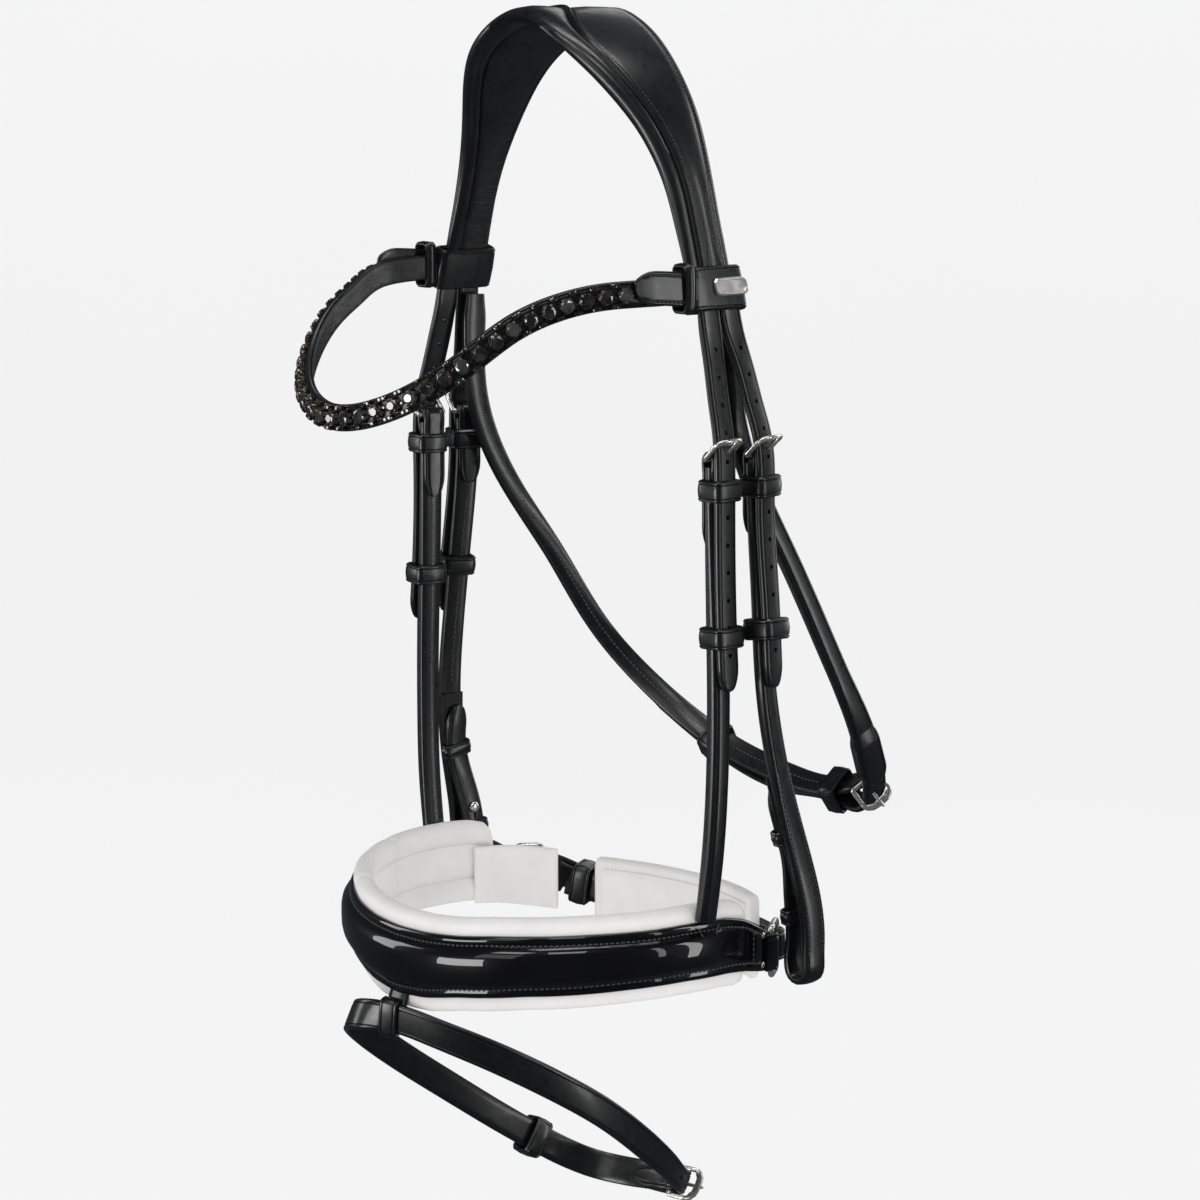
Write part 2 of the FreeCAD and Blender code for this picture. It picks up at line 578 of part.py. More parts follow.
def build_noseband():
    line = nose_line()
    shell = wall(line, -size("shell_thick"), 0, 0, 0)
    for side in (1, -1):
        eye = rod(V(side * RING_FRONT[0], RING_FRONT[1], -451), V(0, 0, 1), 4.0, 18)
        shell = shell.fuse(eye).cut(rod(V(side * RING_FRONT[0], RING_FRONT[1], -460), V(0, 0, 1),
                                        size("wire_radius") + 0.1, 40))
    computed("noseband_shell", shell.removeSplitter())
    computed("noseband_patent", wall(line[1:-1], 0.3, 3.2, -3.5, -3.5))
    thick = size("shell_thick")
    computed("noseband_lining", wall(line[1:-1], -thick - size("lining_thick"), -thick - 0.3, 6, 7))
    flap = [(-91.5, 5, -428, -460), (-87, 20, -429, -461), (-79, 33, -430, -462)]
    computed("noseband_flap", wall(flap, -2, 2, 0, 0))
    build_ring(1, "near")
    build_ring(-1, "far")
    # chin strap: round the near ring, behind the pad, round the far ring and back to its buckle
    radius = size("wire_radius") + 0.1
    out = [(0.5, 0.85, 0), (0.5, 0.85, 0), (0.3, 1, 0), (0.05, 1, 0), (-0.15, 1, 0), (-0.4, 0.9, 0),
           (-0.5, 0.85, 0), (-0.5, 0.85, 0)]
    run = strap(CRANK, out, size("crank_wide"), size("crank_thick"))
    buckle = Buckle("crank_buckle", (-27, 67.8, -451.5), (0, 0, 1), (-1, 0, 0), (0, 1, 0), 40)
    back_out = [(-0.6, 0.8, 0), (-0.5, 0.87, 0), (-0.4, 0.92, 0), (-0.3, 0.95, 0), (-0.2, 1, 0),
                (-0.05, 1, 0), (0, 1, 0), (0.1, 1, 0)]
    back = strap(RETURN, back_out, size("strap_wide"), size("crank_thick"))
    for i in range(2):
        back = back.cut(rod(V(10 + i * size("hole_pitch"), 60, -450), V(0, 1, 0), 1.4, 20))
    back = back.cut(buckle.clearance())
    eyes = []
    for side in (1, -1):
        base = V(side * RING_REAR[0], RING_REAR[1], -450)
        eyes.append(rod(base, V(0, 0, 1), radius + size("crank_thick"), 16))
    leather = run.fuse(eyes + [back])
    for side in (1, -1):
        leather = leather.cut(rod(V(side * RING_REAR[0], RING_REAR[1], -480), V(0, 0, 1), radius, 80))
    computed("crank_strap", leather.removeSplitter())
    chape_line = [(-24.8, 67.9, -451.5), (-12, 68.4, -451.2), (4, 68.5, -450.8)]
    chape = strap(chape_line, [(-0.05, 1, 0)] * 3, size("strap_wide"), 2.4)
    bore = rod(buckle.heel - buckle.across * 9, buckle.across, size("heel_radius") + 0.15, 18)
    slot = rod(buckle.heel - buckle.across * 1.5, buckle.across, size("eye_radius") + 0.4, 3)
    fold = buckle.chape(size("strap_wide"), 2 * (size("heel_radius") + 1.7))
    computed("crank_chape", chape.cut(bore).cut(slot).fuse(fold).removeSplitter())
    buckle.frame()
    buckle.tongue()
    spot = keeper_place(CRANK[3:], RETURN[:5], 0, -74, (-0.45, 0.89, 0))
    band("crank_runner", spot, "Sizes.crank_wide + 4 * Sizes.keeper_play", "4.8 * Sizes.crank_thick",
         "Sizes.keeper_wall", "Sizes.keeper_tall")
    computed("chin_pad", wall(CHIN, 0, size("lining_thick") - 1, 0, 0))


# ---------------------------------------------------------------- flash strap
FLASH = [(18.6, 32.8, -585.9), (-8, 30.5, -589), (-30, 21, -588), (-46, -8, -570),
         (-49, -21, -560.7), (-52, -57, -534), (-46, -104, -499), (-32, -130, -478), (-16, -137, -470.5), (0, -131.5, -469),
         (20, -122, -473.5), (38, -107, -481.5), (52, -69, -504), (54, -43, -522), (50, -10, -549),
         (43, 12, -568), (34.5, 26.5, -580), (27, 34.8, -585.2)]
FLASH_OUT = [(0, 0.85, -0.5), (-0.2, 0.85, -0.45), (-0.5, 0.75, -0.4), (-0.9, 0.3, -0.3),
             (-0.97, 0.15, -0.18), (-1, 0, 0), (-0.95, -0.3, 0), (-0.7, -0.7, 0), (-0.3, -0.95, 0), (0.1, -1, 0),
             (0.5, -0.85, 0), (0.8, -0.6, 0), (1, -0.1, 0), (1, 0.1, 0), (0.95, 0.3, -0.1),
             (0.85, 0.5, -0.2), (0.7, 0.7, -0.3), (0.4, 0.8, -0.45)]


def build_flash():
    wide, thick = size("flash_wide"), size("flash_thick")
    buckle = Buckle("flash_buckle", (20.5, 33, -585.6), (0, 0.5, 0.85), (0.98, 0.017, -0.01),
                    (0, 0.85, -0.5), 20)
    back = beside(FLASH, FLASH_OUT, range(5), thick + 2.4)
    run = strap(FLASH + back, FLASH_OUT + FLASH_OUT[:5],
                [12.5] + [wide] * 14 + [13] + [12.5] * 7, thick)
    bore = rod(buckle.heel - buckle.across * 9, buckle.across, size("heel_radius") + 0.15, 18)
    slot = rod(buckle.heel - buckle.across * 1.5, buckle.across, size("eye_radius") + 0.4, 3)
    fold = buckle.chape(12.5, 2 * (size("heel_radius") + 1.7))
    leather = run.cut(bore).cut(slot).cut(buckle.clearance()).fuse(fold)
    computed("flash_strap", leather.removeSplitter())
    buckle.frame()
    buckle.tongue()
    frames = stations(FLASH, FLASH_OUT)
    place, across, outward = frames[9]
    band("flash_loop", placement(place, across, outward.cross(across)), "Sizes.flash_wide + 1",
         "Sizes.flash_thick + 1", "1.6", "9")
    spot = keeper_place(FLASH[:5], back, 1, -6, (-0.9, 0.3, -0.3))
    band("flash_runner", spot, "Sizes.flash_wide + 1.6", "2 * Sizes.flash_thick + 6.2",
         "Sizes.keeper_wall", "Sizes.keeper_tall")


# ---------------------------------------------------------------- throatlatch
THROAT = [(-94, -3, -134), (-97, 1, -182), (-97.5, 22.6, -236), (-92, 43, -270), (-80, 64, -310),
          (-54, 81.5, -341), (-12, 92.6, -365.6), (38, 97.5, -376.6), (68, 100.2, -376.4),
          (81, 102, -372.2), (86.7, 100.6, -370.2)]
THROAT_OUT = [(-1, 0, 0), (-1, 0, 0), (-1, 0, 0), (-0.95, 0.3, 0), (-0.8, 0.5, -0.2),
              (-0.45, 0.7, -0.5), (0, 0.65, -0.75), (0.1, 0.6, -0.75), (0.15, 0.6, -0.78),
              (0.2, 0.59, -0.78), (0.2, 0.59, -0.78)]
THROAT_SHORT = [(94, -3, -134), (98, 1, -180), (99, 13.5, -212), (100, 33, -246), (102, 68, -310),
                (100.6, 86, -342), (97, 95.4, -359.5), (91.6, 103.1, -376.3), (84.5, 104.8, -383)]
THROAT_SHORT_OUT = [(1, 0, 0), (1, 0, 0), (1, 0, 0), (1, 0, 0), (1, 0, 0), (0.95, -0.1, -0.1),
                    (0.85, -0.1, -0.25), (0.73, -0.09, -0.41), (0.35, 0.45, -0.8)]


def build_throatlatch():
    wide, thick = size("throat_wide"), size("billet_thick")
    buckle = Buckle("throat_buckle", (88.6, 99.6, -370.4), (0.42, 0.67, 0.61),
                    (0.48, 0.38, -0.75), (0.72, -0.6, 0.17), 0)
    long_strap = strap(THROAT, THROAT_OUT, [16, 13, 12, 12, 12.5, 13, 13, 13, 13, 12.5, 12.5], thick)
    bore = rod(buckle.heel - buckle.across * 9, buckle.across, size("heel_radius") + 0.15, 18)
    slot = rod(buckle.heel - buckle.across * 1.5, buckle.across, size("eye_radius") + 0.4, 3)
    fold = buckle.chape(12.5, 2 * (size("heel_radius") + 2.0))
    computed("throat_strap", long_strap.cut(bore).cut(slot).fuse(fold).removeSplitter())
    folded = (8, 7, 6, 5)
    back = beside(THROAT, THROAT_OUT, folded, 6.2)
    billet = strap(THROAT_SHORT + back, THROAT_SHORT_OUT + [THROAT_OUT[i] for i in folded],
                   [16, 13, 10, 10, 10, 15, 13] + [12.5] * 6, thick)
    computed("throat_billet", billet.cut(buckle.clearance()))
    buckle.frame()
    buckle.tongue()
    for label, x, outward in (("throat_keeper", 72, (0.17, 0.6, -0.78)),
                              ("throat_runner", -16, (0, 0.65, -0.75))):
        spot = keeper_place(THROAT[5:9], back, 0, x, outward)
        band(label, spot, "Sizes.throat_wide + 2.4", "2 * Sizes.billet_thick + 7.5",
             "Sizes.keeper_wall", "Sizes.keeper_tall")


# ---------------------------------------------------------------- build, check and write
build_headpiece()
build_browband()
for side, word, sweep in ((1, "near", 9), (-1, "far", -9)):
    build_hanger(side, word)
    build_cheek(side, word, sweep)
build_noseband()
build_flash()
build_throatlatch()
doc.recompute()

for thing in doc.Objects:
    if "Invalid" in thing.State or "Error" in thing.State:
        raise SystemExit("failed object: %s %s" % (thing.Name, thing.State))
for piece in NODES:
    shape = piece.Shape
    if shape.isNull() or not shape.isValid():
        raise SystemExit("bad shape: " + piece.Label)
    shape.exportStep("parts/%s.step" % piece.Label)
    print("%-26s %2d solids %9.1f mm3" % (piece.Label, len(shape.Solids), shape.Volume))
print(len(NODES), "nodes")
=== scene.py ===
"""Snaffle bridle: leather, padding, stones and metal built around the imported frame.

Lengths are millimetres until a mesh is made. Routes follow the part's own route points,
some of them moved by a few millimetres or made finer.
"""
import math

import bmesh
import bpy
import numpy as np
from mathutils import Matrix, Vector


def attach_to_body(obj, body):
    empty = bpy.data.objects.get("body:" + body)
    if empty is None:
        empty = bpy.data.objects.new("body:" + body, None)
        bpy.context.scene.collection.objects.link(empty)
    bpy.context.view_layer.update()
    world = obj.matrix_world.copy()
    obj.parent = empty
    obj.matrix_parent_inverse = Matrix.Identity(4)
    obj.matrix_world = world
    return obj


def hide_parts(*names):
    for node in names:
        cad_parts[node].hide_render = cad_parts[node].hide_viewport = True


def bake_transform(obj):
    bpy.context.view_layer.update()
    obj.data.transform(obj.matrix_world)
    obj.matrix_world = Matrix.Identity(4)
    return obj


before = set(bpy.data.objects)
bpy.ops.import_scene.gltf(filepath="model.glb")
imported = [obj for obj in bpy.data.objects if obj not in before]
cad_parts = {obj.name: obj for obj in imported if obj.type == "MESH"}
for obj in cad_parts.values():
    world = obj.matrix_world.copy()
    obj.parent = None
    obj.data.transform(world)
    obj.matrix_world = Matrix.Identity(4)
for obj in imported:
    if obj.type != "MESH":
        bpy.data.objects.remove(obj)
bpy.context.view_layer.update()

MM = 0.001
NEAR, FAR = 1, -1
WORD = {NEAR: "near", FAR: "far"}
STRAP_WIDE, BILLET_THICK, ROLLED_THICK = 12.5, 3.2, 4.6
HOLE_PITCH, HOLE_RADIUS = 13.0, 1.1
FRAME_WIDE, FRAME_LONG, HEEL_RADIUS = 17.6, 15.0, 1.2


# ================================================================ materials
class Paint:
    """A procedural material under construction."""

    def __init__(self, name, **values):
        self.material = bpy.data.materials.new(name)
        self.material.use_nodes = True
        self.tree = self.material.node_tree
        self.shader = self.tree.nodes["Principled BSDF"]
        for key, value in values.items():
            self.shader.inputs[key.replace("_", " ")].default_value = value
        self.coords = self.tree.nodes.new("ShaderNodeTexCoord").outputs["Object"]
        self.normal = None

    def node(self, kind, **inputs):
        node = self.tree.nodes.new(kind)
        for key, value in inputs.items():
            node.inputs[key.replace("_", " ")].default_value = value
        return node

    def link(self, source, target):
        self.tree.links.new(source, target)

    def stretched(self, scale):
        """Object coordinates stretched along the axes."""
        node = self.node("ShaderNodeMapping")
        node.inputs["Scale"].default_value = scale
        self.link(self.coords, node.inputs["Vector"])
        return node.outputs["Vector"]

    def noise(self, scale, detail=3.0, coords=None):
        node = self.node("ShaderNodeTexNoise", Scale=scale, Detail=detail)
        self.link(coords or self.coords, node.inputs["Vector"])
        return node.outputs["Fac"]

    def cells(self, scale):
        node = self.node("ShaderNodeTexVoronoi", Scale=scale)
        node.feature = "SMOOTH_F1"
        self.link(self.coords, node.inputs["Vector"])
        return node.outputs["Distance"]

    def bump(self, height, distance, strength=1.0):
        node = self.node("ShaderNodeBump", Distance=distance, Strength=strength)
        self.link(height, node.inputs["Height"])
        if self.normal is not None:
            self.link(self.normal, node.inputs["Normal"])
        self.normal = node.outputs["Normal"]
        self.link(self.normal, self.shader.inputs["Normal"])

    def vary(self, socket, fac, low, high):
        """Vary a number over the surface between low and high."""
        node = self.node("ShaderNodeMapRange", From_Min=0.3, From_Max=0.7, To_Min=low, To_Max=high)
        self.link(fac, node.inputs["Value"])
        self.link(node.outputs["Result"], self.shader.inputs[socket])

    def tint(self, fac, low, high):
        """Vary the base colour between two colours."""
        node = self.node("ShaderNodeValToRGB")
        node.color_ramp.elements[0].color = (*low, 1)
        node.color_ramp.elements[1].color = (*high, 1)
        node.color_ramp.elements[0].position = 0.3
        node.color_ramp.elements[1].position = 0.7
        self.link(fac, node.inputs["Fac"])
        self.link(node.outputs["Color"], self.shader.inputs["Base Color"])


def black_leather():
    paint = Paint("black_bridle_leather", Specular_IOR_Level=0.5, Coat_Weight=0.3, Coat_Roughness=0.14)
    paint.tint(paint.noise(90), (0.0022, 0.0024, 0.0029), (0.0048, 0.0050, 0.0057))
    paint.vary("Roughness", paint.noise(260), 0.27, 0.38)
    paint.bump(paint.cells(1000), 0.00003, 0.3)
    paint.bump(paint.noise(300, 3), 0.00007, 0.25)
    return paint.material


def soft_black():
    paint = Paint("soft_black_lining", Specular_IOR_Level=0.45)
    paint.tint(paint.noise(70), (0.005, 0.0053, 0.006), (0.010, 0.0103, 0.0115))
    paint.vary("Roughness", paint.noise(200), 0.38, 0.5)
    paint.bump(paint.noise(300, 4, paint.stretched((1.3, 0.16, 1.3))), 0.0006, 0.55)
    paint.bump(paint.cells(1100), 0.00008, 0.5)
    return paint.material


def patent():
    paint = Paint("black_patent_leather", Roughness=0.3, Specular_IOR_Level=0.1, Coat_Weight=1.0,
                  Coat_Roughness=0.012)
    paint.tint(paint.noise(40), (0.0012, 0.0012, 0.0016), (0.0025, 0.0025, 0.003))
    paint.bump(paint.noise(46, 3), 0.0012, 0.22)
    return paint.material


def white_leather():
    paint = Paint("white_nappa_leather", Specular_IOR_Level=0.35, Sheen_Weight=0.08)
    paint.tint(paint.noise(55), (0.83, 0.82, 0.80), (0.89, 0.882, 0.868))
    paint.vary("Roughness", paint.noise(180), 0.46, 0.58)
    paint.bump(paint.cells(1300), 0.00008, 0.4)
    paint.bump(paint.noise(130, 4, paint.stretched((1, 1, 0.35))), 0.0006, 0.45)
    return paint.material


def thread(name, low, high):
    paint = Paint(name, Roughness=0.4)
    paint.tint(paint.noise(3000, 1), low, high)
    paint.bump(paint.noise(5000, 1), 0.00004, 0.6)
    return paint.material


def nickel():
    paint = Paint("polished_nickel", Metallic=0.9)
    paint.tint(paint.noise(150), (0.68, 0.665, 0.63), (0.80, 0.785, 0.75))
    paint.vary("Roughness", paint.noise(160), 0.17, 0.26)
    paint.bump(paint.noise(400, 2, paint.stretched((1, 1, 7))), 0.000004, 0.3)
    return paint.material


def steel_wire():
    paint = Paint("stainless_wire", Metallic=0.9)
    paint.tint(paint.noise(200), (0.66, 0.66, 0.65), (0.78, 0.78, 0.76))
    paint.vary("Roughness", paint.noise(150), 0.16, 0.24)
    return paint.material


def cup_metal():
    paint = Paint("aged_gold_settings", Metallic=0.9)
    paint.tint(paint.noise(300), (0.62, 0.51, 0.33), (0.93, 0.84, 0.64))
    paint.vary("Roughness", paint.noise(900), 0.2, 0.36)
    return paint.material


def claw_metal():
    paint = Paint("dark_claw_settings", Metallic=0.9)
    paint.tint(paint.noise(600), (0.030, 0.027, 0.024), (0.14, 0.12, 0.09))
    paint.vary("Roughness", paint.noise(900), 0.24, 0.42)
    return paint.material


def stone(name, low, high, metallic):
    paint = Paint(name, Metallic=metallic, Specular_IOR_Level=0.9, Coat_Weight=0.6, Coat_Roughness=0.01)
    paint.tint(paint.noise(260, 0), low, high)
    paint.vary("Roughness", paint.noise(500), 0.03, 0.08)
    return paint.material


LEATHER, SOFT_BLACK, PATENT, WHITE = black_leather(), soft_black(), patent(), white_leather()
# The black thread's colour is lifted to dark grey: a painted highlight standing in for the sheen on black
# stitches.
BLACK_THREAD_PAINTED_SHEEN = thread("black_thread_painted_sheen", (0.030, 0.030, 0.033), (0.075, 0.075, 0.080))
WHITE_THREAD = thread("white_thread", (0.60, 0.59, 0.57), (0.74, 0.73, 0.71))
NICKEL, WIRE, GOLD, CLAW = nickel(), steel_wire(), cup_metal(), claw_metal()
JET = stone("jet_stone", (0.004, 0.004, 0.005), (0.02, 0.02, 0.024), 0.0)
HEMATITE = stone("hematite_stone", (0.10, 0.105, 0.115), (0.24, 0.25, 0.27), 0.85)


# ================================================================ mesh tools
def unit(vectors):
    vectors = np.asarray(vectors, float)
    return vectors / np.linalg.norm(vectors, axis=-1, keepdims=True)


def mirrored(points):
    return [(-x, y, z) for x, y, z in points]


def smooth(mesh, sharp):
    mesh.shade_smooth()
    mesh.set_sharp_from_angle(angle=math.radians(sharp))


def build(name, verts, faces, material, sharp=48):
    """A mesh object from millimetre corners."""
    mesh = bpy.data.meshes.new(name)
    mesh.from_pydata((np.asarray(verts) * MM).tolist(), [], faces)
    shape = bmesh.new()
    shape.from_mesh(mesh)
    bmesh.ops.recalc_face_normals(shape, faces=shape.faces)
    shape.to_mesh(mesh)
    shape.free()
    mesh.materials.append(material)
    smooth(mesh, sharp)
    piece = bpy.data.objects.new(name, mesh)
    bpy.context.collection.objects.link(piece)
    return piece


def tube_faces(rings, corners, closed=False, first=0):
    """Faces of a tube of equal rings, with a cap at each end or joined end to end."""
    faces = []
    for i in range(rings if closed else rings - 1):
        a, b = first + i * corners, first + (i + 1) % rings * corners
        faces += [(a + j, a + (j + 1) % corners, b + (j + 1) % corners, b + j) for j in range(corners)]
    if not closed:
        last = first + (rings - 1) * corners
        faces += [tuple(range(first, first + corners)), tuple(range(last, last + corners))]
    return faces


def attach(piece, body, slot, *nodes):
    """Let a finished piece ride on one body and stand for its CAD nodes."""
    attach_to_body(piece, body)
    if nodes:
        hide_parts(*nodes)
    return piece


def bend(piece, a, b, start, end, slot, *nodes):
    """Bake a finished piece's placement into its mesh and hide the CAD nodes it stands for."""
    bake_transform(piece)
    if nodes:
        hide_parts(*nodes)


class Spots:
    """Stations on a line: place, along, across and outward directions, and blended values."""

    def __init__(self, place, along, out, values):
        self.place, self.along = place, along
        out = out - along * np.sum(out * along, axis=1, keepdims=True)
        self.out = unit(out)
        self.across = np.cross(self.out, self.along)
        self.values = values

    def at(self, across, out):
        """Points offset from the stations."""
        across = np.broadcast_to(across, len(self.place))[:, None]
        out = np.broadcast_to(out, len(self.place))[:, None]
        return self.place + self.across * across + self.out * out


def round_along(places):
    """Directions along a closed line of places."""
    return unit(np.roll(places, -1, axis=0) - np.roll(places, 1, axis=0))


def soften(values, reach):
    """A running average over reach samples on each side, ends held."""
    weights = np.hanning(2 * reach + 3)[1:-1]
    padded = np.concatenate([np.full(reach, values[0]), values, np.full(reach, values[-1])])
    return np.convolve(padded, weights / weights.sum(), "valid")


class Line:
    """A smooth line through points, with an outward direction and other values blended along it."""

    def __init__(self, points, outs, **values):
        self.points = np.array(points, float)
        count = len(points)
        chord = np.linalg.norm(np.diff(self.points, axis=0), axis=1)
        self.knots = np.concatenate([[0], np.cumsum(chord)])
        matrix, right = np.eye(count), np.zeros((count, 3))
        for i in range(1, count - 1):
            matrix[i, i - 1:i + 2] = chord[i - 1], 2 * (chord[i - 1] + chord[i]), chord[i]
            right[i] = 6 * ((self.points[i + 1] - self.points[i]) / chord[i]
                            - (self.points[i] - self.points[i - 1]) / chord[i - 1])
        self.curve = np.linalg.solve(matrix, right)
        self.outs = np.array(outs, float)
        self.values = values
        self.fine = np.linspace(0, self.knots[-1], 60 * count)
        steps = np.linalg.norm(np.diff(self.place(self.fine)[0], axis=0), axis=1)
        self.run = np.concatenate([[0], np.cumsum(steps)])
        self.length = self.run[-1]
        columns = [self.outs[:, k] for k in range(3)]
        columns += [np.broadcast_to(np.asarray(value, float), count) for value in values.values()]
        reach = max(1, int(5 * len(self.fine) / self.length))
        self.table = [soften(np.interp(self.fine, self.knots, column), reach) for column in columns]

    def place(self, t):
        i = np.clip(np.searchsorted(self.knots, t, "right") - 1, 0, len(self.knots) - 2)
        gap = (self.knots[i + 1] - self.knots[i])[:, None]
        b = (t - self.knots[i])[:, None] / gap
        a = 1 - b
        p, q, m, n = self.points[i], self.points[i + 1], self.curve[i], self.curve[i + 1]
        spot = a * p + b * q + ((a ** 3 - a) * m + (b ** 3 - b) * n) * gap ** 2 / 6
        slope = (q - p) / gap + ((3 * b * b - 1) * n - (3 * a * a - 1) * m) * gap / 6
        return spot, slope

    def spots(self, s):
        s = np.atleast_1d(np.asarray(s, float))
        t = np.interp(s, self.run, self.fine)
        spot, slope = self.place(t)
        blended = [np.interp(t, self.fine, column) for column in self.table]
        out = np.stack(blended[:3], axis=1)
        values = dict(zip(self.values, blended[3:]))
        return Spots(spot, unit(slope), out, values)

    def where(self, axis, value, low=0.0, high=None):
        """Distance along the line at which it crosses a plane."""
        s = np.linspace(low, high or self.length, 400)
        spot = self.spots(s).place[:, axis] - value
        crossing = np.nonzero(np.diff(np.sign(spot)))[0]
        return s[crossing[0]] if len(crossing) else s[int(np.argmin(abs(spot)))]

    def on_side(self, side, axis, value):
        """Where one half of a symmetric line, which runs from far to near, crosses a plane."""
        s = self.where(axis, value)
        return s if side == FAR else self.length - s

    def at_point(self, i):
        """Distance along the line to its numbered route point."""
        return np.interp(self.knots[i], self.fine, self.run)

    def dense(self, start, end):
        """Stations about a millimetre apart."""
        return self.spots(np.linspace(start, end, max(8, int(end - start))))


def sweep(name, spots, sections, material, closed=False, sharp=48):
    """A skin through sections (stations, corners, across and outward) set on the stations."""
    rings = (spots.place[:, None] + spots.across[:, None] * sections[:, :, :1]
             + spots.out[:, None] * sections[:, :, 1:])
    faces = tube_faces(*rings.shape[:2], closed)
    return build(name, rings.reshape(-1, 3), faces, material, sharp)


def mirrored_outline(half):
    """A closed outline from its right half, bottom to top, as (across, outward) pairs."""
    half = np.array(half)
    left = half[::-1].copy()
    left[:, 0] *= -1
    return np.concatenate([half, left])


def strap_outline(wide, thick, crown, crease, back=0.0):
    """Section of a strap: rounded edges, a crease line near each edge and raised middles."""
    side, top = wide / 2, thick / 2
    corner = min(1.0, 0.42 * thick)
    rise = lambda u: top + crown * (1 - (u / side) ** 2)
    line = side - crease
    half = [(0.1 * side, -top - back), (0.5 * side, -top - 0.75 * back), (side - corner, -top),
            (side - 0.3 * corner, -top + 0.3 * corner),
            (side, -top + corner), (side, top - corner), (side - 0.3 * corner, top - 0.3 * corner),
            (side - corner, rise(side - corner)), (line + 0.42, rise(line + 0.42)),
            (line, rise(line) - 0.45), (line - 0.42, rise(line - 0.42)), (0.66 * line, rise(0.66 * line)),
            (0.33 * line, rise(0.33 * line))]
    return mirrored_outline(half)


TIP_DISTANCE = [0, 0.25, 0.8, 1.7, 3, 5, 8, 11]
TIP_WIDTH = [0.12, 0.32, 0.48, 0.60, 0.71, 0.84, 0.96, 1]


def strap(name, line, crown=0.35, crease=2.0, tip=False, step=3.0, both=False, back=0.0):
    """A leather strap along a line, with a rounded tip at its end or at both ends."""
    end = line.length
    s = np.linspace(0, end, max(4, int(end / step)))
    if tip:
        s = np.unique(np.concatenate([s[s < end - 12], end - np.array(TIP_DISTANCE), [end - 11.9]]))
    if both:
        s = np.unique(np.concatenate([s[s > 12], np.array(TIP_DISTANCE), [11.9]]))
    spots = line.spots(s)
    outlines = []
    for i, place in enumerate(s):
        wide, thick = spots.values["wide"][i], spots.values["thick"][i]
        outline = strap_outline(wide, thick, crown, crease, back)
        if tip:
            outline[:, 0] *= np.interp(end - place, TIP_DISTANCE, TIP_WIDTH)
            outline[:, 1] *= np.interp(end - place, [0, 2, 9], [0.55, 0.8, 1])
        if both:
            outline[:, 0] *= np.interp(place, TIP_DISTANCE, TIP_WIDTH)
            outline[:, 1] *= np.interp(place, [0, 2, 12], [0.4, 0.6, 1])
        outlines.append(outline)
    return sweep(name, spots, np.array(outlines), LEATHER)


def punch(piece, spots, radius=HOLE_RADIUS, deep=9.0, stretch=1.0):
    """Holes cut through a piece along the outward direction of each station."""
    verts, faces = [], []
    turns = np.linspace(0, 2 * math.pi, 14, endpoint=False)
    for place, along, across, out in zip(spots.place, spots.along, spots.across, spots.out):
        faces += tube_faces(2, len(turns), first=len(verts))
        for depth in (-deep, deep):
            for turn in turns:
                verts.append(place + out * depth + across * radius * math.cos(turn)
                             + along * radius * stretch * math.sin(turn))
    cutter = build("cutter", verts, faces, LEATHER)
    change = piece.modifiers.new("holes", "BOOLEAN")
    change.object, change.operation, change.solver = cutter, "DIFFERENCE", "EXACT"
    seen = bpy.context.evaluated_depsgraph_get()
    mesh = bpy.data.meshes.new_from_object(piece.evaluated_get(seen))
    piece.modifiers.clear()
    piece.data = mesh
    smooth(mesh, 40)
    bpy.data.objects.remove(cutter)


class Stitching:
    """Rows of small thread stitches gathered into one piece."""

    def __init__(self, name, material):
        self.name, self.material = name, material
        self.verts, self.faces = [], []

    def row(self, places, outs, pitch=2.4, radius=0.4, fill=0.72):
        """Stitches pitch apart along a dense run of surface points."""
        places = np.asarray(places, float)
        steps = np.linalg.norm(np.diff(places, axis=0), axis=1)
        run = np.concatenate([[0], np.cumsum(steps)])
        count = int(run[-1] / pitch)
        if count < 1:
            return
        middles = (np.arange(count) + 0.5) * run[-1] / count
        pick = lambda values, s: np.stack([np.interp(s, run, values[:, k]) for k in range(3)], axis=1)
        centre, ahead = pick(places, middles), pick(places, middles + 0.4)
        behind = pick(places, middles - 0.4)
        along = unit(ahead - behind)
        out = pick(np.broadcast_to(outs, places.shape), middles)
        out = unit(out - along * np.sum(out * along, axis=1, keepdims=True))
        across = np.cross(out, along)
        half = 0.5 * fill * run[-1] / count
        rings = [(-half, 0.25), (-0.7 * half, 0.8), (0, 1.0), (0.7 * half, 0.8), (half, 0.25)]
        for c, a, x, o in zip(centre, along, across, out):
            self.faces += tube_faces(len(rings), 6, first=len(self.verts))
            for shift, size in rings:
                for turn in range(6):
                    angle = turn * math.pi / 3
                    self.verts.append(c + a * shift + (x * math.cos(angle) + o * math.sin(angle))
                                      * radius * size)

    def done(self, body, slot):
        piece = build(self.name, self.verts, self.faces, self.material, 80)
        return attach(piece, body, slot)


def edge_rows(stitching, line, start, end, inset, lift):
    """A row of stitches along each edge of a strap's outer face."""
    spots = line.dense(start, end)
    for side in (-1, 1):
        across = side * (spots.values["wide"] / 2 - inset)
        stitching.row(spots.at(across, spots.values["thick"] / 2 + lift), spots.out)


def seam(stitching, line, start, end, back):
    """A row of stitches down the middle of a strap's inner face."""
    spots = line.dense(start, end)
    stitching.row(spots.at(0, -spots.values["thick"] / 2 - back), -spots.out, 2.6)


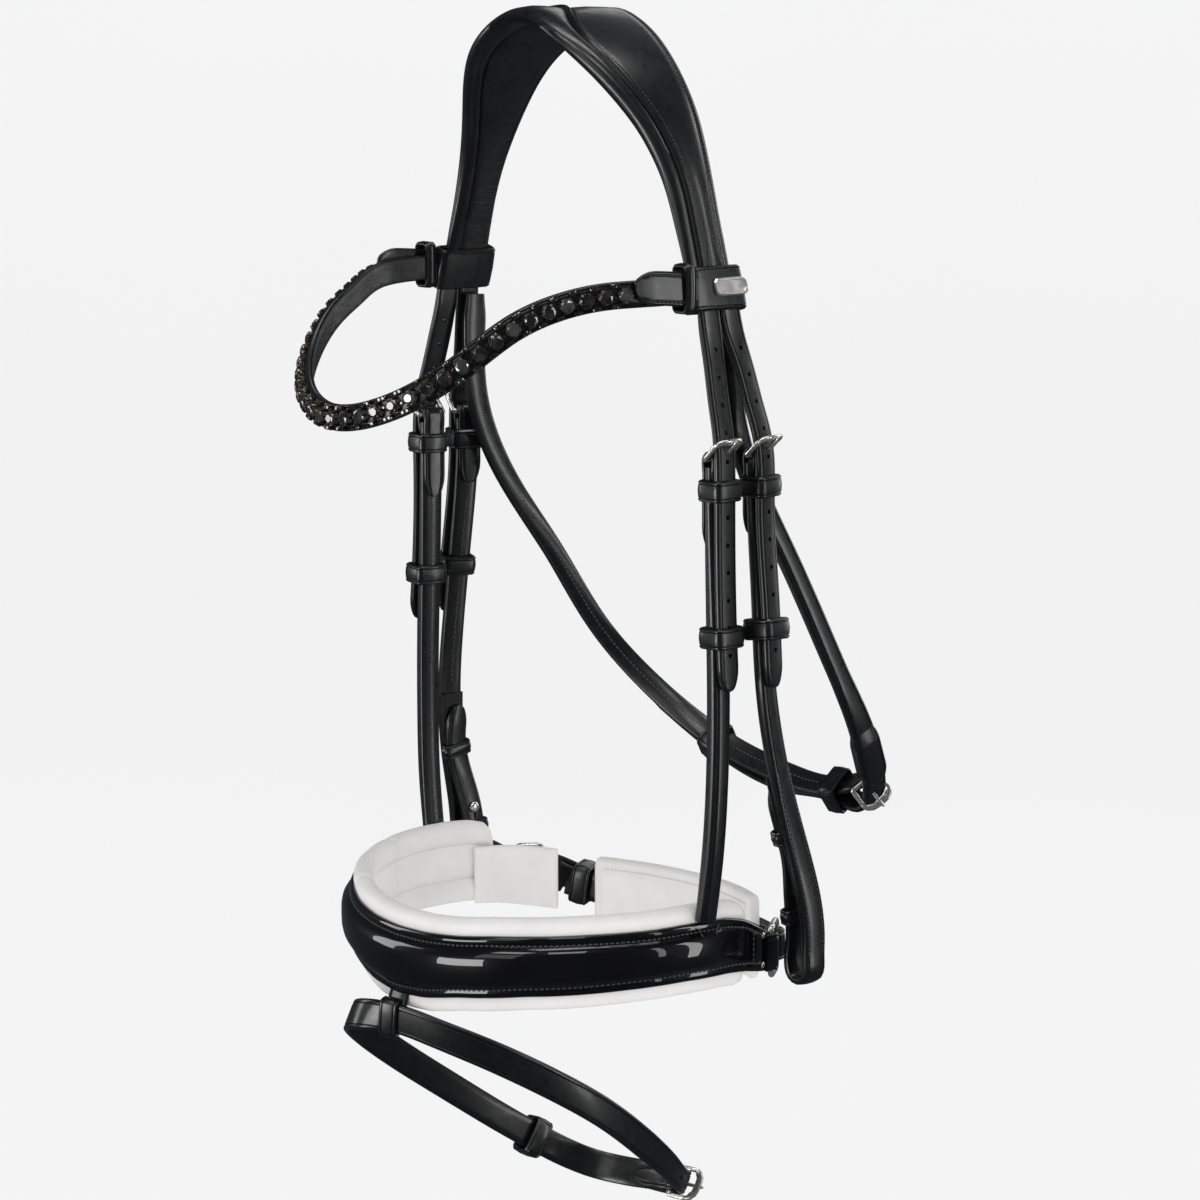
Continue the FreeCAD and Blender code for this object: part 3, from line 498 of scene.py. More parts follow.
def keeper(name, place, outward, along, inside_wide, inside_thick, wall, tall, crease=1.7, swell=0.35):
    """A leather band round a strap: rounded edges and a crease line near each edge."""
    along = unit(along)
    outward = np.array(outward, float)
    outward = unit(outward - along * np.dot(outward, along))
    across = np.cross(outward, along)
    half_wide, half_thick, corner = inside_wide / 2, inside_thick / 2, 1.1
    ring, away = [], []
    for quarter in range(4):
        x = (half_wide - corner) * (1 if quarter in (0, 3) else -1)
        y = (half_thick - corner) * (1 if quarter in (0, 1) else -1)
        for step in range(6):
            angle = math.pi / 2 * (quarter + step / 5)
            ring.append((x + corner * math.cos(angle), y + corner * math.sin(angle)))
            away.append((math.cos(angle), math.sin(angle)))
        if quarter in (0, 2):
            for share in (0.25, 0.5, 0.75):
                bow = swell * math.sin(math.pi * share)
                sign = 1 if quarter == 0 else -1
                ring.append((sign * (half_wide - corner) * (1 - 2 * share), sign * (half_thick + bow)))
                away.append((0, sign))
    edge = 0.45 * wall
    half = tall / 2
    outline = [(-half + edge, 0), (half - edge, 0), (half, edge), (half, wall - edge), (half - edge, wall),
               (half - crease + 0.4, wall), (half - crease, wall - 0.45), (half - crease - 0.4, wall),
               (0, wall + 0.3), (-half + crease + 0.4, wall), (-half + crease, wall - 0.45),
               (-half + crease - 0.4, wall), (-half + edge, wall), (-half, wall - edge), (-half, edge)]
    verts = []
    for (x, y), (nx, ny) in zip(ring, away):
        for shift, lift in outline:
            verts.append(np.array(place, float) + across * (x + nx * lift) + outward * (y + ny * lift)
                         + along * shift)
    return build(name, verts, tube_faces(len(ring), len(outline), True), LEATHER, 40)


def band(name, inner, outer, crossing, outward, inside, body, node, uneven=0.0):
    """A keeper round two straps where they cross a plane, (axis, value), riding on a body."""
    a, b = (line.spots(line.where(*crossing)) for line in (inner, outer))
    along = a.along[0]
    away = np.array(outward, float)
    away = unit(away - along * np.dot(away, along))
    middle = (a.place[0] + b.place[0]) / 2 - away * uneven / 4
    piece = keeper(name, middle, outward, along, *inside, 1.8, 10)
    attach(piece, body, "black_leather", node)


def rounded_bar(wide, thick, power=0.6, corners=14):
    """Section of a metal bar, between a rectangle and an ellipse."""
    turns = np.linspace(0, 2 * math.pi, corners, endpoint=False)
    shape = lambda v: np.sign(v) * abs(v) ** power
    return np.stack([wide / 2 * shape(np.cos(turns)), thick / 2 * shape(np.sin(turns))], axis=1)


class Buckle:
    """A flat buckle on a strap's end: heel bar, arched front bar and tongue."""

    def __init__(self, label, heel, across, along, outward, tilt):
        self.label = label
        self.heel = np.array(heel, float)
        across, along, outward = unit(across), unit(along), unit(outward)
        lean = math.radians(tilt)
        self.reach = unit(along * math.cos(lean) + outward * math.sin(lean))
        self.face = unit(outward * math.cos(lean) - along * math.sin(lean))
        self.across = across if np.dot(np.cross(across, self.reach), self.face) > 0 else -across
        self.along, self.outward = along, outward

    def point(self, x, y, z=0.0):
        return self.heel + self.across * x + self.reach * y + self.face * z

    def frame(self, body):
        half, front = FRAME_WIDE / 2 - 1.1, FRAME_LONG - 1.8
        outline, sizes = [], []
        for x in np.linspace(-half + 0.6, half - 0.6, 7):
            outline.append((x, 0, 0))
            sizes.append((2.4, 2.4))
        for turn in np.linspace(-80, 0, 4):
            outline.append((half - 0.6 + 0.6 * math.cos(math.radians(turn)),
                            0.6 + 0.6 * math.sin(math.radians(turn)), 0))
            sizes.append((2.1, 2.4))
        for y in np.linspace(2.5, front - 4.2, 5):
            outline.append((half, y, 0.1))
            sizes.append((2.5, 2.1))
        corner = 2.6
        for turn in np.linspace(0, 75, 6):
            angle = math.radians(turn)
            outline.append((half - corner + corner * math.cos(angle),
                            front - 1.2 - corner + corner * math.sin(angle), 0.25 + turn / 300))
            sizes.append((2.5 + turn / 75, 2.1 - turn / 375))
        right = len(outline)
        arch = np.linspace(half - 3.2, -half + 3.2, 9)
        for x in arch:
            bow = 1 - (x / half) ** 2
            outline.append((x, front - 1.2 + 1.1 * bow, 0.55 + 0.75 * bow))
            sizes.append((3.5, 1.9))
        for (x, y, z), size in zip(outline[7:right][::-1], sizes[7:right][::-1]):
            outline.append((-x, y, z))
            sizes.append(size)
        places = np.array([self.point(*spot) for spot in outline])
        spots = Spots(places, round_along(places), np.broadcast_to(self.face, places.shape), {})
        sections = np.array([rounded_bar(*size) for size in sizes])
        piece = sweep(self.label + "_frame_metal", spots, sections, NICKEL, closed=True, sharp=60)
        return attach(piece, body, "nickel", self.label + "_frame")

    def tongue(self):
        top = FRAME_LONG - 1.7
        points = [self.point(0, -2.35, 0), self.point(0, -1.3, 1.75), self.point(0, 1.2, 2.3),
                  self.point(0, 5, 2.5), self.point(0, 9.5, 2.9), self.point(0, top, 3.1),
                  self.point(0, top + 2.4, 2.9)]
        line = Line(points, [self.face - self.reach] * 2 + [self.face] * 5)
        s = np.linspace(0, line.length, 26)
        spots = line.spots(s)
        ends = np.interp(line.length - s, [0, 0.4, 1.2, 4], [0.35, 0.75, 0.95, 1])
        sections = np.array([rounded_bar(1.9 * e, 1.7 * e, 0.8, 10) for e in ends])
        pin = sweep(self.label + "_tongue_metal", spots, sections, NICKEL, sharp=60)
        turns = np.linspace(0, 2 * math.pi, 18, endpoint=False)
        size = 1.85
        ring = np.array([self.heel + self.reach * size * math.cos(t) + self.face * size * math.sin(t)
                         for t in turns])
        spots = Spots(ring, round_along(ring), unit(ring - self.heel), {})
        sections = np.array([rounded_bar(2.1, 1.05)] * len(turns))
        eye = sweep(self.label + "_tongue_eye", spots, sections, NICKEL, closed=True, sharp=60)
        attach(pin, self.label + "_tongue", "nickel", self.label + "_tongue")
        return attach(eye, self.label + "_tongue", "nickel")

    def fold(self, name, body, inner_end, outer_end, half_gap, wide=STRAP_WIDE, thick=2.0):
        """The turned strap end round the heel bar; ends are how far each layer runs back."""
        radius = HEEL_RADIUS + 0.35 + thick / 2
        back, away = -self.along, self.outward
        points, outs = [], []
        for run in (inner_end, inner_end * 0.6, inner_end * 0.3, 6):
            points.append(self.heel + back * run - away * half_gap)
            outs.append(-away)
        for turn in (-60, -20, 20, 60):
            angle = math.radians(turn)
            way = self.along * math.cos(angle) + away * math.sin(angle)
            points.append(self.heel + way * radius)
            outs.append(way)
        for run in (6, outer_end):
            points.append(self.heel + back * run + away * half_gap)
            outs.append(away)
        line = Line(points, outs, wide=wide - 0.2, thick=thick)
        piece = strap(name, line, crown=0.2, step=1.6, tip=True, both=True)
        return attach(piece, body, "black_leather")


# ================================================================ headpiece
# Half of the arch's outer line: distance from the centre, height, front edge and rear edge.
ARCH = [(0, 13.6, -54, 11), (29.8, 3.0, -52.5, 10), (44.2, -7.0, -48.5, 7), (56, -18.8, -42.5, 5.6),
        (63, -28.0, -37.8, 5), (69.5, -38.4, -33, 4.3), (75.2, -49.7, -29.4, 3), (80, -61.0, -26.8, 1.9),
        (84.4, -73.8, -25.5, 1.2), (87.7, -85, -25.2, 1.2), (91, -96, -25.1, 1.3), (94, -107, -25, 1.5),
        (98.8, -124, -24.7, 1.7)]
# Depth of the padded arch at each of those points, and how far its front roll reaches back.
ARCH_DEEP = [8.0, 8.4, 9.0, 9.2, 9.2, 9.0, 8.7, 8.2, 7.6, 6.8, 5.9, 5.0, 4.2]
RIDGE_X = [0, 7, 14, 22, 30, 43, 61, 79, 100]
RIDGE_IN = [31, 28.5, 23, 18, 15, 12.2, 10.3, 9.2, 8.2]


def arch_line():
    both = [(-x, z, f, r) for x, z, f, r in ARCH[::-1]] + ARCH[1:]
    deep = ARCH_DEEP[::-1] + ARCH_DEEP[1:]
    points = [(x, 0, z) for x, z, _, _ in both]
    return Line(points, [(0, 0, 1)] * len(points), front=[b[2] for b in both],
                rear=[b[3] for b in both], deep=deep)


def arch_spots(line, s):
    spots = line.spots(s)
    spots.out = unit(np.cross(spots.along, (0, 1, 0)))
    spots.across = np.broadcast_to((0.0, 1.0, 0.0), spots.place.shape)
    return spots


def crown_outline(wide, deep, ridge):
    """Top leather from the front roll over the piping to the stitched rear edge, then back under."""
    middle = (ridge + 4 + wide - 8) / 2
    y_depth = [(0.0, 0.52 * deep), (0.05 * ridge, 0.28 * deep), (0.2 * ridge, 0.08 * deep),
               (0.42 * ridge, -0.2), (0.62 * ridge, -0.1), (ridge - 3.2, 0.6), (ridge - 1.9, 1.7),
               (ridge - 1.2, 0.7), (ridge - 0.6, -0.35), (ridge, -0.75), (ridge + 0.6, -0.35),
               (ridge + 1.2, 0.6), (ridge + 1.9, 1.45), (ridge + 3.2, 1.0), (ridge + 5, 0.7),
               (middle, 0.1), (wide - 8, 0.25), (wide - 4.6, 0.5), (wide - 4.0, 0.78), (wide - 3.4, 0.55),
               (wide - 1.4, 0.8), (wide - 0.4, 1.3), (wide, 2.1), (wide - 0.4, 3.0), (wide - 1.4, 3.4),
               (middle, 3.5), (ridge + 1, 3.6), (0.92 * ridge, 0.62 * deep + 0.8),
               (0.72 * ridge, 0.93 * deep),
               (0.48 * ridge, 1.0 * deep), (0.25 * ridge, 0.93 * deep), (0.08 * ridge, 0.76 * deep)]
    return np.array(y_depth)


def pad_outline(wide, deep, ridge):
    """Soft lining under the arch, from behind the front roll to the rear edge."""
    start, stop = 0.86 * ridge, wide - 1.2
    low = deep - 0.3
    span = stop - start
    y_depth = [(start, 3.4), (start + 0.4, 0.8 * low), (start + 1.6, 0.93 * low), (start + 0.16 * span, low),
               (start + 0.5 * span, low + 0.25), (start + 0.8 * span, low - 0.1), (stop - 4.4, 0.9 * low),
               (stop - 3.8, 0.82 * low), (stop - 3.0, 0.88 * low), (stop - 1.2, 0.8 * low),
               (stop - 0.2, 0.62 * low), (stop, 3.6)]
    return np.array(y_depth)


def headpiece():
    line = arch_line()
    s = np.linspace(0, line.length, 150)
    spots = arch_spots(line, s)
    x = abs(spots.place[:, 0])
    ridge = np.interp(x, RIDGE_X, RIDGE_IN)
    front, rear, deep = (soften(spots.values[key], 6) for key in ("front", "rear", "deep"))
    ridge = soften(ridge, 4)
    top, under = [], []
    for i in range(len(s)):
        outline = crown_outline(rear[i] - front[i], deep[i], ridge[i])
        top.append(np.stack([front[i] + outline[:, 0], -outline[:, 1]], axis=1))
        outline = pad_outline(rear[i] - front[i], max(deep[i], 4.6), ridge[i])
        under.append(np.stack([front[i] + outline[:, 0], -outline[:, 1]], axis=1))
    piece = sweep("crown_leather", spots, np.array(top), LEATHER, sharp=60)
    attach(piece, "crown", "black_leather", "crown_top")
    lining = sweep("crown_soft_lining", spots, np.array(under), SOFT_BLACK, sharp=60)
    attach(lining, "crown", "black_leather", "crown_padding")
    rows = Stitching("crown_stitching", BLACK_THREAD_PAINTED_SHEEN)
    for offset, depth in ((ridge + 3.6, 0.9), (rear - front - 4.0, 0.62), (rear - front - 2.3, 0.66)):
        rows.row(spots.at(front + offset, -depth), spots.out, 2.2, 0.3)
    # a stitched wedge is let into each leg above the browband loop
    for side in (NEAR, FAR):
        apex, foot = line.on_side(side, 2, -84), line.on_side(side, 2, -118)
        run = arch_spots(line, np.linspace(apex, foot, 30))
        share = np.linspace(0, 1, 30)
        centre = (run.values["front"] + run.values["rear"]) / 2 + 3.5
        for edge in (-1, 1):
            rows.row(run.at(centre + edge * 6.5 * share, -0.25), run.out, 2.2, 0.32)
    rows.done("crown", "black_leather")


# ================================================================ cheek side
FRONT_BILLET = [(99.2, -18.0, -124), (101, -18.2, -134), (105, -19, -150), (110.5, -20.5, -170),
                (114.2, -21.4, -183), (115.8, -22, -195), (116.1, -22, -215), (118.3, -22.2, -277),
                (120.5, -22.6, -302)]
HANGER = [(110, -21.8, -197), (110.2, -22, -215), (112.4, -22.3, -277), (113.6, -22.7, -320),
          (113.4, -23.2, -350), (111.4, -24, -385), (107.4, -24.4, -415)]
REAR_BILLET = [(99.2, -5.0, -124), (101, -4.6, -134), (105.5, -2, -150), (111, 0.6, -170),
               (115, 1.9, -183), (116.9, 2.5, -195), (117.4, 2.5, -215), (122.2, 1.6, -260),
               (125.4, 0.6, -287), (127, 0.2, -302)]
CHEEK = [(111, 2.5, -197), (111.5, 2.5, -215), (116.3, 1.6, -260), (120.9, 0.4, -300),
         (124, 2.4, -340), (126.5, 9, -378), (127.8, 16, -408), (128, 18.5, -430), (128, 18.5, -440)]
SWING_SHARE = [0, 0, 0, 0, 0.35, 0.7, 0.9, 1, 1]
FRONT_TURN, REAR_TURN = 0.07, 0.2
LOOP_RADIUS = 4.8
FIRST_HOLE_Z, HOLE_COUNT = -144, 14


def flipped(points, side):
    return points if side == NEAR else mirrored(points)


def billet_holes(piece, line):
    """Holes along a billet, as many as fit before its tip."""
    s = line.where(2, FIRST_HOLE_Z) + HOLE_PITCH * np.arange(HOLE_COUNT)
    punch(piece, line.spots(s[s < line.length - 9]))


def hanger_side(side):
    """Front billet, buckle and the strap that carries the noseband."""
    word = WORD[side]
    face = (side, FRONT_TURN, 0)
    billet = Line(flipped(FRONT_BILLET, side), [(side, 0, 0.28)] * 2 + [face] * 7,
                  wide=[12.4] + [STRAP_WIDE] * 8, thick=[2.4] + [BILLET_THICK] * 8)
    leather = strap("noseband_billet_leather_" + word, billet, tip=True, crown=0.5)
    billet_holes(leather, billet)
    bend(leather, "crown", "noseband", (side * 100, -18, -128), (side * 101.5, -18, -140),
         "black_leather", "noseband_billet_" + word)
    hanger = Line(flipped(HANGER, side), [face] * 7, wide=[STRAP_WIDE, 12.4, 11.6, 11.2, 11, 11, 11.4],
                  thick=[3.6, 3.6, 5.2, 5.4, 5.4, 5.4, 4.4])
    piece = strap("noseband_hanger_leather_" + word, hanger, crown=1.1, crease=2.2, back=0.8)
    rows = Stitching("noseband_hanger_seam_" + word, BLACK_THREAD_PAINTED_SHEEN)
    seam(rows, hanger, hanger.where(2, -240), hanger.length - 4, 0.8)
    rows.done("noseband", "black_leather")
    attach(piece, "noseband", "black_leather", "noseband_hanger_" + word)
    buckle = Buckle("hanger_buckle_" + word, (side * 110, -21.8, -193), (-side * FRONT_TURN, 1, 0),
                    (0, 0, 1), face, 45)
    buckle.frame("noseband")
    buckle.tongue()
    buckle.fold("hanger_turned_end_" + word, "noseband", 43, 16, 2.7)
    for name, z, body, wide, play in (("hanger_keeper_", -208, "noseband", 13.5, 3.5),
                                      ("hanger_runner_", -277, "hanger_runner_" + word, 14.6, 3.5)):
        band(name + "leather_" + word, hanger, billet, (2, z), face,
             (wide, BILLET_THICK + ROLLED_THICK + play), body, name + word, ROLLED_THICK - BILLET_THICK)


def cheek_side(side, sweep_back):
    """Rear billet, buckle and the cheekpiece with its bit loop."""
    word = WORD[side]
    face = (side, REAR_TURN, 0)
    body = "cheek_" + word
    billet = Line(flipped(REAR_BILLET, side), [(side, 0, 0.28)] * 2 + [face] * 8,
                  wide=[12.4] + [STRAP_WIDE] * 9, thick=[2.4] + [BILLET_THICK] * 9)
    leather = strap("cheek_billet_leather_" + word, billet, tip=True, crown=0.5)
    billet_holes(leather, billet)
    bend(leather, "crown", body, (side * 100, -5, -128), (side * 101.5, -5, -140),
         "black_leather", "cheek_billet_" + word)
    outer = [(x, y + sweep_back * share, z) for (x, y, z), share in zip(CHEEK, SWING_SHARE)]
    y = [place[1] for place in outer]
    centre_x = 128 - LOOP_RADIUS - BILLET_THICK / 2
    low = centre_x - LOOP_RADIUS - BILLET_THICK / 2
    reach = LOOP_RADIUS + BILLET_THICK / 2
    curl, curl_out = [], []
    for turn in (0, 45, 90, 135, 180):
        way = (math.cos(math.radians(turn)), 0, -math.sin(math.radians(turn)))
        curl.append((centre_x + way[0] * reach, y[8], -445 + way[2] * reach))
        curl_out.append(way)
    inner = [(low + 0.4, y[7], -432), (low + 2.2, y[6], -408), (121.3, (y[5] + y[6]) / 2 - 1.2, -388),
             (121.3, y[5] - 1.8, -372), (119.6, y[4] + 2.6, -352)]
    outs = [(1, REAR_TURN, 0)] * 5 + [(1, REAR_TURN / 2, 0)] + [(1, 0, 0)] * 3
    outs += curl_out + [(-1, 0, 0)] * len(inner)
    thick = [3.6, 3.6, 4.8, 5.0, 4.8, 3.8, 3.2, 3.0, 3.0] + [BILLET_THICK] * (5 + len(inner))
    wide = [STRAP_WIDE, 12.4, 11.6, 11.2, 11.8] + [STRAP_WIDE + 0.6] * 9 + [STRAP_WIDE] * len(inner)
    points = [(side * px, py, pz) for px, py, pz in outer + curl + inner]
    line = Line(points, [(side * ox, oy, oz) for ox, oy, oz in outs], wide=wide, thick=thick)
    piece = strap("cheekpiece_leather_" + word, line, crown=0.7, crease=2.1, tip=True, step=2.4, back=0.4)
    stud_at = line.where(2, -408, line.where(2, -450, 200))
    punch(piece, line.spots([stud_at]), 2.3)
    punch(piece, line.spots([stud_at - 4]), 0.6, stretch=6)
    attach(piece, body, "black_leather", "cheekpiece_" + word)
    # the lap of the fold: a lining layer sewn behind the outer strap from the loop upward
    lap_from, lap_to = line.where(2, -344), line.where(2, -438)
    rows = Stitching("cheekpiece_stitching_" + word, BLACK_THREAD_PAINTED_SHEEN)
    edge_rows(rows, line, lap_from, lap_to, 2.1, 0.15)
    seam(rows, line, line.where(2, -240), lap_from - 4, 0.4)
    rows.done(body, "black_leather")
    lap_s = np.linspace(lap_from + 2, lap_to, 34)
    lap_spots = line.spots(lap_s)
    lap_outlines = []
    for i in range(len(lap_s)):
        outline = strap_outline(STRAP_WIDE + 0.2, 2.0, 0.1, 2.0)
        outline[:, 1] -= lap_spots.values["thick"][i] / 2 + 0.6
        lap_outlines.append(outline)
    lap = sweep("cheekpiece_lap_" + word, lap_spots, np.array(lap_outlines), LEATHER)
    attach(lap, body, "black_leather")
    buckle = Buckle("cheek_buckle_" + word, (side * 111, 2.5, -193), (-side * REAR_TURN, 1, 0),
                    (0, 0, 1), face, 45)
    buckle.frame(body)
    buckle.tongue()
    buckle.fold("cheek_turned_end_" + word, body, 38, 16, 2.7)
    upper = Line(points[:7], [face] * 7)
    for name, z, rider, wide_in, play in (("cheek_keeper_", -208, body, 13.5, 3.5),
                                          ("cheek_runner_", -275, "cheek_runner_" + word, 14.6, 5.0)):
        band(name + "leather_" + word, upper, billet, (2, z), face,
             (wide_in, BILLET_THICK + ROLLED_THICK + play), rider, name + word,
             ROLLED_THICK - BILLET_THICK)
    for tag, z, search_from in (("upper", -376, stud_at), ("lower", -419, stud_at - 40)):
        spot = line.spots([line.where(2, z, search_from)])
        loop = keeper("bit_keeper_%s_%s" % (tag, word), spot.place[0], (-side, 0, 0), spot.along[0],
                      14.2, BILLET_THICK + 0.9, 1.3, 7.6, crease=1.5, swell=0.1)
        attach(loop, body, "black_leather", *(["bit_keepers_" + word] if tag == "upper" else []))
    stud(word, side, line.spots([stud_at]).place[0], body)


def stud(word, side, place, body):
    """A turned stud: flanged head inside the slot, shank through to the outer strap."""
    profile = [(0.05, -4.6), (1.6, -4.5), (2.6, -4.0), (3.0, -3.3), (2.7, -2.8), (1.6, -2.6), (1.5, -2.2),
               (1.5, 8.0), (0.05, 8.0)]
    turns, verts = 20, []
    for radius, depth in profile:
        for j in range(turns):
            angle = 2 * math.pi * j / turns
            verts.append((place[0] + side * depth, place[1] + radius * math.cos(angle),
                          place[2] + radius * math.sin(angle)))
    piece = build("hook_stud_metal_" + word, verts, tube_faces(len(profile), turns), NICKEL, 40)
    attach(piece, body, "nickel", "hook_stud_" + word)


# ================================================================ browband
BROW = [(97.2, -29.5, -116), (96, -58, -116), (90, -74.5, -117), (81.5, -92, -121),
        (73, -113.5, -130.5), (63.5, -130.5, -144.5), (48, -144.5, -158.5), (26.5, -155, -169),
        (0, -159, -173.5)]
BROW_OUT = [(1, 0, 0), (1, -0.15, 0), (0.95, -0.3, 0), (0.92, -0.4, 0), (0.88, -0.5, 0),
            (0.75, -0.7, 0), (0.5, -0.9, 0), (0.22, -1, 0), (0, -1, 0)]
# The far half hangs a little lower and further in than the near half, as in the photograph.
FAR_DROP = [0, 1.5, 3, 4, 4, 3, 1.5, 0.4, 0]
FAR_IN = [0, 0, 0.5, 2, 3, 3, 2, 0.8, 0]
STONE_PITCH, STONE_RADIUS, SMALL_RADIUS, FILLER_RADIUS, SMALL_ROW = 9.2, 3.3, 1.25, 0.95, 4.7


class Cluster:
    """Many copies of small turned or faceted shapes gathered into one piece."""

    def __init__(self, name, material, sharp):
        self.name, self.material, self.sharp = name, material, sharp
        self.verts, self.faces = [], []

    def ringed(self, place, along, across, out, rings, spin=0.0):
        """Rings of (radius, height, corners, half-step turn) joined from first to last."""
        starts = []
        for radius, height, corners, turn in rings:
            starts.append(len(self.verts))
            for j in range(corners):
                angle = 2 * math.pi * (j + turn) / corners + spin
                self.verts.append(place + out * height
                                  + (across * math.cos(angle) + along * math.sin(angle)) * radius)
        self.faces.append(tuple(starts[0] + j for j in range(rings[0][2])))
        last = rings[-1][2]
        self.faces.append(tuple(starts[-1] + j for j in range(last)))
        for a, b, start, stop in zip(rings, rings[1:], starts, starts[1:]):
            n = a[2]
            half = b[3] != a[3]
            for j in range(n):
                k = (j + 1) % n
                if half:
                    self.faces.append((start + j, start + k, stop + j))
                    self.faces.append((start + k, stop + k, stop + j))
                else:
                    self.faces.append((start + j, start + k, stop + k, stop + j))

    def done(self, body, slot, *nodes):
        piece = build(self.name, self.verts, self.faces, self.material, self.sharp)
        return attach(piece, body, slot, *nodes)


def gem(cluster, spot, radius, height, spin):
    """A cut stone: flat table, two rows of facets and a girdle."""
    cluster.ringed(*spot, [(radius * 0.6, height - 1.9, 8, 0), (radius, height - 1.15, 8, 0),
                           (radius * 0.84, height - 0.5, 8, 0.5), (radius * 0.55, height, 8, 0)], spin)


def setting(walls, cluster, spot, radius, height, claws):
    """A turned cup with claws folded over the stone's girdle."""
    walls.ringed(*spot, [(radius * 0.7, 0.0, 16, 0), (radius - 0.1, 0.05, 16, 0),
                         (radius - 0.35, height * 0.35, 16, 0), (radius, height - 1.0, 16, 0),
                         (radius * 0.6, height - 1.3, 16, 0)])
    place, along, across, out = spot
    for j in range(claws):
        angle = 2 * math.pi * (j + 0.5) / claws
        way = across * math.cos(angle) + along * math.sin(angle)
        side = np.cross(out, way)
        root = place + way * (radius + 0.15)
        tip = place + way * (radius * 0.78)
        first = len(cluster.verts)
        size = 0.13 * radius + 0.1
        for base, lift, wide in ((root, 0.1, size), (root, height * 0.75, size),
                                 (tip, height * 0.98, size * 0.7)):
            for a, b in ((-1, -1), (1, -1), (1, 1), (-1, 1)):
                cluster.verts.append(base + out * lift + side * a * wide + way * b * size * 0.7)
        for i in (0, 4):
            for k in range(4):
                m = (k + 1) % 4
                cluster.faces.append((first + i + k, first + i + m, first + i + 4 + m, first + i + 4 + k))
        cluster.faces.append((first, first + 1, first + 2, first + 3))
        cluster.faces.append((first + 8, first + 9, first + 10, first + 11))


def browband():
    far_half = [(x - shift, y + 0.7 * shift, z - drop)
                for (x, y, z), shift, drop in zip(BROW, FAR_IN, FAR_DROP)]
    line = Line(mirrored(far_half) + BROW[-2::-1], mirrored(BROW_OUT) + BROW_OUT[-2::-1],
                wide=12.5, thick=3.2)
    leather = strap("browband_leather", line, crown=0.2, crease=1.5)
    attach(leather, "browband", "black_leather", "browband_strap")
    s = np.linspace(2, line.length - 2, 120)
    spots = line.spots(s)
    under = np.array([strap_outline(11.4, 1.2, 0.0, 1.4)] * len(s))
    under[:, :, 1] -= 2.25
    lining = sweep("browband_soft_lining", spots, under, SOFT_BLACK)
    attach(lining, "browband", "black_leather", "browband_lining")
    first, last = line.where(1, -61), line.length - line.where(1, -61)
    cups, claws = Cluster("browband_settings", GOLD, 35), Cluster("browband_claws", CLAW, 35)
    dark, bright = Cluster("browband_jet_stones", JET, 5), Cluster("browband_grey_stones", HEMATITE, 5)
    count = int((last - first) / STONE_PITCH)
    large = first + (last - first - (count - 1) * STONE_PITCH) / 2 + STONE_PITCH * np.arange(count)
    top = 1.6 + 0.2

    def seat(station, across, lift):
        at = line.spots([station])
        return at.at(across, lift)[0], at.along[0], at.across[0], at.out[0]

    for i, station in enumerate(large):
        spot = seat(station, 0, top)
        setting(cups, claws, spot, STONE_RADIUS, 3.7, 6)
        gem(bright if i % 3 == 1 else dark, spot, STONE_RADIUS, 4.1, 0.2 * i)
    for row in (-1, 1):
        small = np.concatenate([large - 0.62 * STONE_PITCH, large - 0.38 * STONE_PITCH])
        for i, station in enumerate(sorted(small)):
            spot = seat(station, row * SMALL_ROW, top - 0.05)
            setting(claws, claws, spot, SMALL_RADIUS, 1.6, 4)
            gem(dark, spot, SMALL_RADIUS, 2.1, 0.5 * i)
    centre_row = large[:-1] + STONE_PITCH / 2
    for i, station in enumerate(centre_row):
        spot = seat(station, 0.6 * (-1) ** i, top)
        setting(claws, claws, spot, FILLER_RADIUS, 1.6, 4)
        gem(dark, spot, FILLER_RADIUS, 2.1, 0.3 * i)
    cups.done("browband", "cup_metal", "browband_cups")
    claws.done("browband", "cup_metal")
    dark.done("browband", "stone", "browband_stones")
    bright.done("browband", "stone")
    rows = Stitching("browband_stitching", BLACK_THREAD_PAINTED_SHEEN)
    for side in (NEAR, FAR):
        browband_end(side, rows)
    rows.done("browband", "black_leather")


